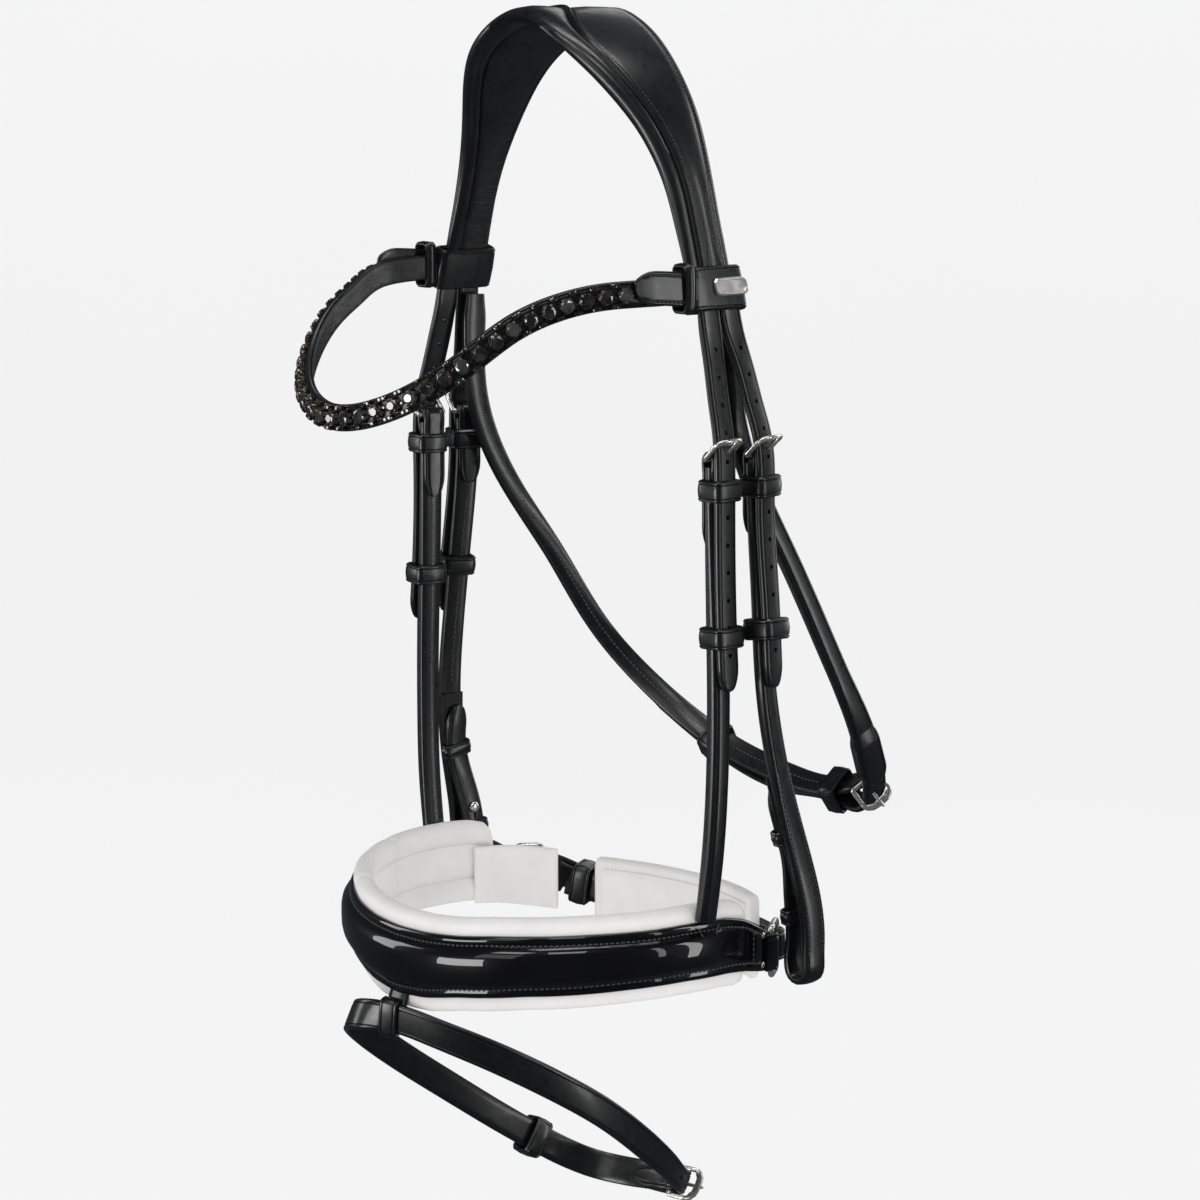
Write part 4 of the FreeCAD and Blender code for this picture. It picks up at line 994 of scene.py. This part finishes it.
def browband_end(side, rows):
    """The loop round the crown's leg with its pointed tab and keeper band."""
    word = WORD[side]
    lean = unit((side * (91 - 101), 0, -96 + 131))
    outward = np.array((side * lean[2], 0, -side * lean[0]))
    middle = np.array((side * 96.8, -11.9, -116)) - outward * 1.8
    loop = keeper("browband_loop_leather_" + word, middle, outward, lean, 29.9, 5.4, 2.3, 21, crease=1.9,
                  swell=0.4)
    attach(loop, "browband", "black_leather", "browband_loop_" + word)
    tab_points = [(side * 101.1, -26.5, -115.1), (side * 101.0, -34, -114.8), (side * 100.1, -48, -113.7),
                  (side * 99.2, -62.5, -113.1)]
    tab = Line(tab_points, [(side, -0.1, 0.05)] * 4, wide=[16, 16, 15.8, 15.4], thick=2.4)
    leather = strap("browband_tab_leather_" + word, tab, tip=True, crown=0.3, crease=1.7)
    attach(leather, "browband", "black_leather")
    s = np.linspace(3, tab.length - 7, 30)
    run = tab.spots(s)
    shrink = np.interp(tab.length - s, [0, 12], [0.7, 1])
    for edge in (-1, 1):
        rows.row(run.at(edge * 6.0 * shrink, 1.45), run.out, 2.2, 0.3)
    collar = keeper("browband_collar_leather_" + word, (side * 98.9, -32.5, -114.8), (side, 0, 0), (0, 1, 0),
                    19.0, 7.0, 2.0, 6.6, crease=1.4, swell=0.3)
    attach(collar, "browband", "black_leather")
    # rows across the loop's outer face, above and below
    for edge in (-1, 1):
        y = np.linspace(-24, 2, 30)
        base = middle + outward * 5.3 + lean * (edge * 8.2)
        places = np.stack([np.full(30, base[0]), y, np.full(30, base[2])], axis=1)
        rows.row(places, outward, 2.2, 0.3)
    if side == NEAR:
        badge(middle + outward * 5.9, outward, lean)


def badge(place, outward, lean):
    """A plain bevelled oblong plate with a raised border."""
    rear = np.array((0.0, 1.0, 0.0))
    centre = place + rear * 6.5
    # half width, half height and lift of each loop, from the back edge to the sunk middle
    loops = [(10.2, 4.4, 0.0), (10.2, 4.4, 0.7), (9.6, 3.8, 1.3), (8.6, 2.9, 1.3), (8.3, 2.6, 1.0)]
    corners, verts = 24, []
    for wide, tall, lift in loops:
        for u, v in rounded_bar(2 * wide, 2 * tall, 0.45, corners):
            verts.append(centre + rear * u + lean * v + outward * lift)
    piece = build("badge_plate_metal", verts, tube_faces(len(loops), corners), NICKEL, 30)
    attach(piece, "browband", "nickel", "badge_plate")


# ================================================================ noseband
# Half of the noseband's outer line: X, Y, top edge, bottom edge and how far the face is padded out.
NOSE = [(101.0, 22.5, -431, -451.5, 0.0), (103.6, 14, -425.5, -449.5, 0.0), (105.5, 4, -420.5, -447, 0.0),
        (106.6, -8, -417.5, -445.5, 0.25), (107, -20, -416.5, -445, 0.8), (106, -37, -416, -444.2, 1),
        (103.5, -52, -416, -444, 1), (98, -67, -416, -444.3, 1), (91, -80, -416, -445, 1),
        (81.5, -93.5, -416.4, -445.7, 1), (70, -105, -417, -446.5, 1), (56, -115, -418, -448.5, 1),
        (40, -122.5, -420, -450.5, 1), (20, -127.5, -421.5, -454.4, 1), (0, -129, -422, -456, 1)]
RING_FRONT, RING_REAR, RING_Z = (100.5, 25.0), (91.5, 37.0), -442
CRANK = [(78, 46, -444.5), (50, 58, -448), (10, 64.5, -450.5), (-30, 63, -451.5), (-60, 54, -451),
         (-80, 44, -447.5)]
RETURN = [(-80, 51, -447.5), (-62, 61, -450.5), (-46, 68.5, -451.5), (-37, 71.8, -451.5),
          (-28, 73.4, -451.5), (0, 74, -450.5), (24, 72, -449.4)]
CHIN = [(75, 32.6, -421, -464), (48, 45.5, -424, -468), (9, 52.5, -427, -471),
        (-30, 51, -429.5, -472), (-58.6, 43.9, -431, -471)]


def wall_line(points):
    """An upright band's line: outward is away from the middle, across is up."""
    places = [(p[0], p[1], 0) for p in points]
    return Line(places, [(0, 1, 0)] * len(points), top=[p[2] for p in points],
                bottom=[p[3] for p in points], fullness=[p[4] if len(p) > 4 else 1 for p in points])


def wall_spots(line, s, way=1):
    """Upright stations; way is -1 where outward lies to the other side of the line."""
    spots = line.spots(s)
    spots.out = unit(np.cross(spots.along, (0, 0, 1))) * way
    spots.across = np.broadcast_to((0.0, 0.0, 1.0), spots.place.shape)
    return spots


def patent_outline(top, bottom, full):
    """Outer face of the noseband: bound edges, a stitched border and a padded middle."""
    rise = 4.3 * full
    edge = [(0.0, -1.9), (0.1, -0.9), (0.6, -0.15), (1.6, 0.25), (3.0, 0.35), (3.8, 0.1), (4.5, 0.05),
            (5.1, 0.35 + 0.18 * rise), (6.2, 0.4 + 0.55 * rise), (8.2, 0.4 + 0.84 * rise),
            (10.8, 0.4 + 0.97 * rise)]
    low = [(bottom + z, n) for z, n in edge]
    high = [(top - z, n) for z, n in edge[::-1]]
    middle, back = [((top + bottom) / 2, 0.4 + rise)], [(top - 0.3, -2.4), (bottom + 0.3, -2.4)]
    return np.array(low + middle + high + back)


def lining_outline(top, bottom, pinch):
    """White lining: a fat roll above and below the leather, and a quilted inner face."""
    middle = (top + bottom) / 2
    outline = [(bottom + 3, -2.6), (bottom - 1, -2.7), (bottom - 4, -3.0), (bottom - 6.4, -4.2),
               (bottom - 7.8, -6.2), (bottom - 7.9, -8.3), (bottom - 6.6, -10.4), (bottom - 4, -11.7),
               (bottom - 1, -11.8), (bottom + 2, -11.0), (bottom + 4, -9.7), (bottom + 4.8, -8.9),
               (bottom + 5.6, -9.5), (bottom + 9, -10.3), (middle, -10.6), (top - 9, -10.3),
               (top - 5.6, -9.5), (top - 4.8, -8.9), (top - 4, -9.9), (top - 1.6, -11.4),
               (top + 1.6, -12.0), (top + 4.8, -11.4), (top + 7.2, -9.5), (top + 8.0, -7.0),
               (top + 7.4, -4.4), (top + 5.6, -2.4), (top + 2.8, -1.6), (top - 2, -2.6)]
    outline = np.array(outline)
    centre = np.array([middle, -6.5])
    return centre + (outline - centre) * pinch


def ring(side):
    """A rectangular wire ring with rounded corners."""
    word = WORD[side]
    front = np.array((side * RING_FRONT[0], RING_FRONT[1], RING_Z))
    rear = np.array((side * RING_REAR[0], RING_REAR[1], RING_Z))
    way, rise, corner, half = unit(rear - front), np.array((0, 0, 1.0)), 3.2, 12.5
    span = np.linalg.norm(rear - front)
    places = []
    for index, (u, v) in enumerate(((span, 1), (0, 1), (0, -1), (span, -1))):
        cu = u - corner if u else corner
        cv = v * (half - corner)
        for turn in np.linspace(0, 90, 7):
            angle = math.radians(90 * index + turn)
            places.append(front + way * (cu + corner * math.cos(angle))
                          + rise * (cv + corner * math.sin(angle)))
    places = np.array(places)
    spots = Spots(places, round_along(places), np.broadcast_to(np.cross(way, rise), places.shape), {})
    sections = np.array([rounded_bar(3.0, 3.0, 1.0, 12)] * len(places))
    piece = sweep("noseband_ring_wire_" + word, spots, sections, WIRE, True, 80)
    attach(piece, "noseband", "steel_wire", "noseband_ring_" + word)


def noseband():
    far = [(-x, y, t, b, f) for x, y, t, b, f in NOSE]
    line = wall_line(far + NOSE[-2::-1])
    spots = wall_spots(line, np.linspace(0, line.length, 190))
    top, bottom, full = (spots.values[key] for key in ("top", "bottom", "fullness"))
    shell = np.array([patent_outline(t, b, f) for t, b, f in zip(top, bottom, full)])
    face = sweep("noseband_patent_face", spots, shell, PATENT, sharp=60)
    attach(face, "noseband", "patent_leather", "noseband_patent", "noseband_shell")
    # white lining, pinched where its panels are seamed together
    begin, finish = line.where(1, 6), line.length - line.where(1, 6)
    run = np.linspace(begin, finish, 240)
    inner = wall_spots(line, run)
    pinch = np.ones(len(run))
    for join in (line.where(0, -97, 10), line.where(0, -52, 10)):
        pinch -= 0.07 * np.exp(-((run - join) / 1.3) ** 2)
    for end in (begin, finish):
        pinch *= np.interp(abs(run - end), [0, 0.6, 2, 5], [0.72, 0.84, 0.95, 1])
    pad = np.array([lining_outline(t, b, p)
                    for t, b, p in zip(inner.values["top"], inner.values["bottom"], pinch)])
    lining = sweep("noseband_white_lining", inner, pad, WHITE, sharp=60)
    attach(lining, "noseband", "white_leather", "noseband_lining")
    black = Stitching("noseband_stitching", BLACK_THREAD_PAINTED_SHEEN)
    for edge, lift in ((top - 4.3, 0.2), (bottom + 4.3, 0.2)):
        black.row(spots.at(edge, lift), spots.out, 2.6, 0.52)
    for side in (NEAR, FAR):
        spot = wall_spots(line, [line.on_side(side, 1, 9)])
        z = np.linspace(spot.values["bottom"][0] + 5, spot.values["top"][0] - 5, 12)
        places = np.repeat(spot.at(0, 0.5), 12, axis=0)
        places[:, 2] = z
        black.row(places, spot.out[0], 2.2, 0.32)
        notch = line.on_side(side, 1, -24)
        for step in (-6.5, 6.5):
            edge = wall_spots(line, notch + np.linspace(step, 0.25 * step, 10))
            places = edge.at(0, 1.0 + 3.2 * np.linspace(0.1, 0.8, 10) * edge.values["fullness"])
            places[:, 2] = edge.values["top"] - np.linspace(1.5, 12, 10)
            black.row(places, edge.out, 2.4, 0.42)
    far_end = wall_spots(line, begin + np.array([9.0, 12.0]))
    for height in (0.24, 0.31, 0.7):
        places = far_end.at(0, -10.2)
        places[:, 2] = far_end.values["bottom"] * (1 - height) + far_end.values["top"] * height
        black.row(places, -far_end.out, 2.9, 0.5, 0.4)
    black.done("noseband", "black_leather")
    white = Stitching("noseband_lining_stitching", WHITE_THREAD)
    for edge in (inner.values["top"] - 4.8, inner.values["bottom"] + 4.8):
        white.row(inner.at(edge, -8.95)[4:-4], -inner.out[4:-4], 2.6, 0.28)
    white.done("noseband", "white_leather")
    noseband_ends(line)
    flap()
    ring(NEAR)
    ring(FAR)
    chin_strap()
    chin_pad()


def noseband_ends(line):
    """The noseband's ends: leather eyes round the rings' front bars, and rivets."""
    rivets = Cluster("noseband_rivets", NICKEL, 40)
    for side in (NEAR, FAR):
        word = WORD[side]
        turns = np.radians(np.linspace(-20, 200, 15))
        toward = unit((side * (RING_FRONT[0] - 101.0) - side * 0.6, RING_FRONT[1] - 22.5, 0))
        away = np.array((side * 0.93, 0.37, 0))
        centre = np.array((side * RING_FRONT[0], RING_FRONT[1], 0))
        places = [centre + (toward * math.sin(t) + away * math.cos(t)) * 2.9 for t in turns]
        places = [np.array((side * 103.1, 19.5, 0))] + places + [np.array((side * 97.0, 20.5, 0))]
        places = np.array(places)
        along = unit(np.gradient(places, axis=0))
        out = unit(places - centre)
        spots = Spots(places, along, out, {})
        spots.across = np.broadcast_to((0.0, 0.0, 1.0), places.shape)
        outline = strap_outline(18.6, 2.0, 0.1, 1.6)
        outline[:, 0] += RING_Z + 0.6
        eye = sweep("noseband_end_eye_" + word, spots, np.array([outline] * len(places)), LEATHER)
        attach(eye, "noseband", "black_leather")
        spot = wall_spots(line, [line.on_side(side, 1, 15.5)])
        for z in (-431.5, -446.5):
            place = spot.at(0, 0.6)[0]
            place[2] = z
            rivets.ringed(place, spot.along[0], np.array((0, 0, 1.0)), spot.out[0],
                          [(1.5, 0, 16, 0), (1.55, 0.35, 16, 0), (1.15, 0.8, 16, 0), (0.5, 1.0, 16, 0)])
    rivets.done("noseband", "nickel")


def rounded_slab(top, bottom, thick, inner_face, groove, puff, edge=2.2):
    """Section of a padded band between inner_face and inner_face + thick, seamed near its edges."""
    middle, seam_in = (top + bottom) / 2, 5.5
    low, high = inner_face, inner_face + thick
    half = [(bottom + edge, low + 0.2), (bottom + seam_in - 1.2, low - 0.1),
            (bottom + seam_in, low + groove), (bottom + seam_in + 1.4, low - 0.2 * puff),
            (bottom + seam_in + 4, low - puff), (middle, low - puff)]
    other = [(top + bottom - z, n) for z, n in half[-2::-1]]
    corner_top = [(top - 0.5 * edge, low + 0.3 * edge), (top, low + edge), (top, high - edge),
                  (top - 0.5 * edge, high - 0.3 * edge), (top - edge, high), (middle, high + 0.3),
                  (bottom + edge, high), (bottom + 0.5 * edge, high - 0.3 * edge), (bottom, high - edge),
                  (bottom, low + edge), (bottom + 0.5 * edge, low + 0.3 * edge)]
    return np.array(half + other + corner_top)


def chin_pad():
    """White pad behind the chin strap, quilted on the face towards the horse."""
    line = wall_line(CHIN)
    s = np.linspace(0, line.length, 110)
    spots = wall_spots(line, s)
    from_end = np.minimum(s, line.length - s)
    shrink = np.interp(from_end, [0, 0.5, 1.5, 3], [0.86, 0.93, 0.98, 1])
    thin = np.interp(from_end, [0, 1, 3, 6], [0.5, 0.7, 0.86, 1])
    upright = np.interp(from_end, [0, 5, 6.2, 8], [0, 0.05, 1, 1])
    sections = []
    for t, b, f, g, u in zip(spots.values["top"], spots.values["bottom"], shrink, thin, upright):
        outline = rounded_slab(t, b, 6.9, 0.5, groove=0.9 * u, puff=0.8 * u)
        centre = np.array([(t + b) / 2, 4.2])
        sections.append(centre + (outline - centre) * (f, g))
    pad = sweep("chin_pad_white", spots, np.array(sections), WHITE, sharp=60)
    attach(pad, "noseband", "white_leather", "chin_pad")
    rows = Stitching("chin_pad_stitching", WHITE_THREAD)
    inside = slice(6, -6)
    for edge in (spots.values["top"] - 5.5, spots.values["bottom"] + 5.5):
        rows.row(spots.at(edge, 1.1)[inside], -spots.out[inside], 2.6, 0.28)
    for index in (6, -7):
        z = np.linspace(spots.values["bottom"][index] + 6, spots.values["top"][index] - 6, 14)
        places = np.repeat(spots.at(0, 0.6)[index][None], 14, axis=0)
        places[:, 2] = z
        rows.row(places, -spots.out[index], 2.6, 0.28)
    rows.done("noseband", "white_leather")


def flap():
    """White square flap at the far end of the lining, lying inside the ring."""
    points = [(-93.5, -8, -423.5, -454), (-91.0, 6, -424, -455.5), (-87.5, 16, -425, -457.5),
              (-82.5, 26, -426.5, -459.5), (-76.0, 34.5, -428, -461)]
    line = wall_line(points)
    s = np.linspace(0, line.length, 40)
    spots = wall_spots(line, s, -1)
    from_end = np.minimum(s, line.length - s)
    thin = np.interp(from_end, [0, 0.5, 1.5], [0.5, 0.85, 1])
    sections = []
    for t, b, g in zip(spots.values["top"], spots.values["bottom"], thin):
        outline = rounded_slab(t, b, 3.6, -1.8, groove=0.0, puff=0.0, edge=1.5)
        centre = np.array([(t + b) / 2, 0.0])
        sections.append(centre + (outline - centre) * (1, g))
    piece = sweep("noseband_flap_white", spots, np.array(sections), WHITE, sharp=60)
    attach(piece, "noseband", "white_leather", "noseband_flap")


def wrap(side, first, last, radius, thick):
    """Points of a strap turning round a ring's rear bar, between two angles in degrees."""
    centre = np.array((side * RING_REAR[0], RING_REAR[1], RING_Z))
    points, outs = [], []
    for turn in np.linspace(first, last, 5):
        way = np.array((math.cos(math.radians(turn)), math.sin(math.radians(turn)), 0))
        points.append(tuple(centre + way * (radius + thick / 2)))
        outs.append(tuple(way))
    return points, outs


def chin_strap():
    """Crank strap: sewn round the near ring, through the far ring and back to its buckle."""
    radius, thick = 1.6, 2.6
    near, near_out = wrap(NEAR, -110, 110, radius, thick)
    far, far_out = wrap(FAR, 300, 120, radius, thick)
    rear_out = [(0.4, 0.9, 0), (0.3, 1, 0), (0.05, 1, 0), (-0.15, 1, 0), (-0.4, 0.9, 0), (-0.5, 0.85, 0)]
    inner = [(84, 39.5, -443.3), (70, 46, -446)]
    run = Line(inner[::-1] + near + CRANK, [(-0.4, -0.9, 0)] * 2 + near_out + rear_out,
               wide=16.0, thick=thick)
    piece = strap("chin_strap_leather", run, crown=0.3, crease=2.0, step=2.4)
    attach(piece, "noseband", "black_leather", "crank_strap")
    tail_points = [CRANK[-1]] + far + RETURN
    tail_outs = [(-0.5, 0.85, 0)] + far_out + [(-0.5, 0.87, 0), (-0.4, 0.92, 0), (-0.3, 0.95, 0),
                                               (-0.2, 1, 0), (-0.05, 1, 0), (0, 1, 0), (0.1, 1, 0)]
    tail = Line(tail_points, tail_outs, wide=[16] * 7 + [13.5] + [12.5] * (len(tail_points) - 8), thick=thick)
    billet = strap("chin_billet_leather", tail, crown=0.4, tip=True, step=2.4)
    punch(billet, tail.spots(tail.length - 14 - HOLE_PITCH * np.arange(5)))
    attach(billet, "noseband", "black_leather")
    buckle = Buckle("crank_buckle", (-27, 67.8, -451.5), (0, 0, 1), (-1, 0, 0), (0, 1, 0), 40)
    buckle.frame("noseband")
    buckle.tongue()
    fold = buckle.fold("chin_chape_leather", "noseband", 8, 33, 1.6, 12.5, 1.8)
    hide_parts("crank_chape")
    band("chin_runner_leather", Line(CRANK[2:], [(0, 1, 0)] * 4), Line(RETURN[:4], [(0, 1, 0)] * 4),
         (0, -74), (-0.45, 0.89, 0), (18, 12.4), "crank_runner", "crank_runner")


# ================================================================ flash strap
FLASH = [(18.6, 32.8, -585.9), (-8, 30.5, -589), (-30, 21, -588), (-46, -8, -570),
         (-49, -21, -560.7), (-52, -57, -534), (-46.5, -105, -498), (-34, -131, -476.6),
         (-16, -138.4, -468.6), (0, -132.5, -467.6), (20, -122.4, -472), (38, -107, -480.5),
         (52, -69, -504), (54, -43, -522), (50, -10, -549), (43, 12, -568), (34.5, 26.5, -580),
         (27, 34.8, -585.2)]
FLASH_OUT = [(0, 0.85, -0.5), (-0.2, 0.85, -0.45), (-0.5, 0.75, -0.4), (-0.9, 0.3, -0.3),
             (-0.97, 0.15, -0.18), (-1, 0, 0), (-0.9, -0.25, 0.3), (-0.65, -0.6, 0.42),
             (-0.3, -0.9, 0.25), (0.1, -1, 0.03), (0.5, -0.85, 0), (0.8, -0.6, 0), (1, -0.1, 0),
             (1, 0.1, 0), (0.95, 0.3, -0.1), (0.85, 0.5, -0.2), (0.7, 0.7, -0.3), (0.4, 0.8, -0.45)]


def beside(line, picks, gap):
    """Points at a distance outside a line, at its numbered route points."""
    return [tuple(line.spots([line.at_point(i)]).at(0, gap)[0]) for i in picks]


def flash():
    first = Line(FLASH, FLASH_OUT, wide=15.0, thick=2.8)
    back = beside(first, range(5), 5.2)
    points, outs = FLASH + back, FLASH_OUT + FLASH_OUT[:5]
    line = Line(points, outs, wide=[12.5] + [15] * 14 + [13.5] + [12.5] * 7, thick=2.8)
    piece = strap("flash_strap_leather", line, crown=0.35, crease=2.2, tip=True)
    holes = line.where(1, 34.8, line.length - 110) + HOLE_PITCH * (np.arange(-5, 3) + 0.4)
    punch(piece, line.spots(holes), deep=2.3)
    attach(piece, "flash", "black_leather", "flash_strap")
    buckle = Buckle("flash_buckle", (20.5, 33, -585.6), (0, 0.5, 0.85), (0.98, 0.1, 0.14),
                    (0, 0.85, -0.5), 20)
    buckle.frame("flash")
    buckle.tongue()
    buckle.fold("flash_turned_end", "flash", 26, 12, 2.2, 12.5, 1.7)
    front = first.spots([first.at_point(9)])
    loop = keeper("flash_loop_leather", front.place[0], front.out[0], front.along[0], 16, 3.9, 1.7, 9.5)
    attach(loop, "flash", "black_leather", "flash_loop")
    tab = Line([(0, -124.6, -452), (0, -127.5, -459), (0, -129.2, -466)], [(0, -1, 0)] * 3,
               wide=14.0, thick=2.4)
    hinge = strap("flash_loop_tab", tab, step=1.5)
    bend(hinge, "noseband", "flash", (0, -126, -455), (0, -129, -463), "black_leather")
    band("flash_runner_leather", Line(FLASH[:5], FLASH_OUT[:5]), Line(back, FLASH_OUT[:5]), (1, -6),
         (-0.9, 0.3, -0.3), (16.6, 11.8), "flash_runner", "flash_runner")


# ================================================================ throatlatch
THROAT = [(-94.2, -4.5, -131), (-94.7, -4.8, -142), (-97, -2, -182), (-97.5, 23.5, -236), (-92, 45.5, -270),
          (-80, 66, -310), (-54, 81.5, -341), (-12, 92.6, -365.6), (38, 97.5, -376.6),
          (68, 100.2, -376.4), (81, 102, -372.2), (86.7, 100.6, -370.2)]
THROAT_OUT = [(-1, 0, 0), (-1, 0, 0), (-1, 0, 0), (-1, 0, 0), (-0.95, 0.3, 0), (-0.8, 0.5, -0.2),
              (-0.45, 0.7, -0.5), (0, 0.65, -0.75), (0.1, 0.6, -0.75), (0.15, 0.6, -0.78),
              (0.2, 0.59, -0.78), (0.2, 0.59, -0.78)]
THROAT_SHORT = [(94, -3, -128), (94.6, -2, -142), (98, 1, -180), (99, 13.5, -212), (100, 33, -246),
                (102, 68, -310), (100.6, 86, -342), (97, 95.4, -359.5), (91.6, 103.1, -376.3),
                (84.5, 104.8, -383)]
THROAT_SHORT_OUT = [(1, 0, 0)] * 6 + [(0.95, -0.1, -0.1), (0.85, -0.1, -0.25), (0.73, -0.09, -0.41),
                                      (0.35, 0.45, -0.8)]


def throatlatch():
    line = Line(THROAT, THROAT_OUT, wide=[11, 14, 12, 10.5, 10.5, 11, 12, 13, 13, 13, 12.5, 12.5],
                thick=[1.6, 2.8, 4.2, 5.0, 5.0, 5.0, 4.6, 3.6, 3.2, 3.2, 3.0, 2.8])
    piece = strap("throat_strap_leather", line, crown=1.5, crease=2.0, back=0.5)
    bend(piece, "crown", "throatlatch", (-94, -3, -128), (-94, -3, -142), "black_leather", "throat_strap")
    folded = (9, 8, 7, 6)
    back = beside(line, folded, 6.2)
    points = THROAT_SHORT + back
    outs = THROAT_SHORT_OUT + [THROAT_OUT[i] for i in folded]
    billet = Line(points, outs, wide=[15, 15, 12, 10.5, 10.5, 11, 14, 13.5] + [12.5] * 6,
                  thick=[2.6, 3, 4.2, 5.0, 5.0, 4.6, 3.4] + [3.2] * 7)
    leather = strap("throat_billet_leather", billet, crown=0.8, tip=True)
    middle = billet.where(1, 103, billet.length * 0.5)
    holes = middle + 4 + HOLE_PITCH * np.arange(-2, 8)
    punch(leather, billet.spots(holes[holes < billet.length - 10]))
    bend(leather, "crown", "throatlatch", (94, -3, -128), (94, -3, -142), "black_leather", "throat_billet")
    wrapped = billet.spots(np.linspace(billet.where(2, -336), billet.where(2, -371), 8))
    cover = Line(wrapped.place, wrapped.out, wide=15.6, thick=5.6)
    attach(strap("throat_wrap_leather", cover, crown=0.9, tip=True, both=True, step=1.5), "throatlatch",
           "black_leather")
    rows = Stitching("throat_stitching", BLACK_THREAD_PAINTED_SHEEN)
    seam(rows, line, line.where(2, -200), line.length - 30, 0.5)
    rows.done("throatlatch", "black_leather")
    buckle = Buckle("throat_buckle", (88.6, 99.6, -370.4), (0.42, 0.67, 0.61), (0.48, 0.38, -0.75),
                    (0.72, -0.6, 0.17), 0)
    buckle.frame("throatlatch")
    buckle.tongue()
    for name, x, outward, body in (("throat_keeper", 72, (0.17, 0.6, -0.78), "throatlatch"),
                                   ("throat_runner", -16, (0, 0.65, -0.75), "throat_runner")):
        band(name + "_leather", Line(THROAT[6:10], THROAT_OUT[6:10]), Line(back, THROAT_OUT[6:10]), (0, x),
             outward, (15.4, 13.9), body, name)


# ================================================================ studio
def stage_material():
    paint = Paint("pale_backdrop", Roughness=0.9, Specular_IOR_Level=0.1)
    paint.tint(paint.noise(0.6, 2), (0.19, 0.19, 0.19), (0.21, 0.21, 0.21))
    paint.shader.inputs["Emission Color"].default_value = (0.86, 0.86, 0.865, 1)
    paint.shader.inputs["Emission Strength"].default_value = 0.88
    return paint.material


def studio():
    """A pale floor that curves up into a backdrop on every side, soft boxes and the camera."""
    floor_z, floor_reach, bend_radius, wall_top = -900.0, 3200.0, 900.0, 3800.0
    profile = [(1.0, floor_z), (floor_reach, floor_z)]
    for turn in range(1, 9):
        angle = math.radians(turn * 90 / 8)
        profile.append((floor_reach + bend_radius * math.sin(angle),
                        floor_z + bend_radius * (1 - math.cos(angle))))
    profile.append((floor_reach + bend_radius, wall_top))
    turns = 64
    verts = [(r * math.cos(2 * math.pi * j / turns), r * math.sin(2 * math.pi * j / turns), z)
             for r, z in profile for j in range(turns)]
    faces = tube_faces(len(profile), turns)[:-2]
    floor = build("pale_floor", verts, faces, stage_material(), 80)
    floor.visible_glossy = False
    floor.visible_shadow = False
    world = bpy.data.worlds.new("studio")
    bpy.context.scene.world = world
    world.use_nodes = True
    world.node_tree.nodes["Background"].inputs["Color"].default_value = (0.80, 0.86, 0.95, 1)
    world.node_tree.nodes["Background"].inputs["Strength"].default_value = 0.07
    # name, place, size across, size up, power, and whether it only shows in reflections
    for name, place, wide, tall, power, cards in (
            ("overhead_left", (0.15, -1.22, 1.35), 0.62, 0.5, 4.5, False),
            ("overhead_right", (0.93, -0.78, 1.35), 0.62, 0.5, 4.5, False),
            ("front_soft_box", (0.35, -1.9, 0.55), 0.9, 0.9, 3, False),
            ("near_side_strip", (1.9, 0.35, 0.1), 0.2, 1.6, 3, False),
            ("back_rim", (-0.9, 1.6, 0.5), 1.2, 1.2, 4, False),
            ("near_card", (1.6, 1.0, -0.1), 0.25, 1.9, 8, True),
            ("left_card", (-1.5, -1.2, 0.1), 0.45, 1.3, 8, True),
            ("front_card", (-0.2, -1.95, -0.5), 0.95, 0.55, 13, True),
            ("rear_card", (0.3, 1.9, 0.2), 0.6, 1.5, 8, True),
            ("top_card", (0.1, 0.2, 1.6), 0.4, 1.4, 10, True)):
        light = bpy.data.lights.new(name, "AREA")
        light.shape, light.size, light.size_y, light.energy = "RECTANGLE", wide, tall, power
        lamp = bpy.data.objects.new(name, light)
        bpy.context.collection.objects.link(lamp)
        lamp.location = place
        lamp.visible_diffuse = not cards
        aim(lamp, (0, -0.03, -0.30))
    camera = bpy.data.cameras.new("photo_view")
    camera.sensor_width, camera.lens = 36.0, 93.0
    camera.clip_end = 50
    view = bpy.data.objects.new("photo_view", camera)
    bpy.context.collection.objects.link(view)
    azimuth, pitch, distance, look = math.radians(50), math.radians(10.4), 1.55, (0, 0, -0.278)
    view.location = (look[0] + distance * math.sin(azimuth) * math.cos(pitch),
                     look[1] - distance * math.cos(azimuth) * math.cos(pitch),
                     look[2] + distance * math.sin(pitch))
    aim(view, look)
    bpy.context.scene.camera = view
    bpy.context.scene.view_settings.view_transform = "Standard"


def aim(thing, target):
    """Turn a lamp or camera towards a point, upright."""
    way = Vector(target) - thing.location
    thing.rotation_euler = way.to_track_quat("-Z", "Y").to_euler()


headpiece()
browband()
for hand, back_swing in ((NEAR, 9), (FAR, -9)):
    hanger_side(hand)
    cheek_side(hand, back_swing)
noseband()
flash()
throatlatch()
studio()
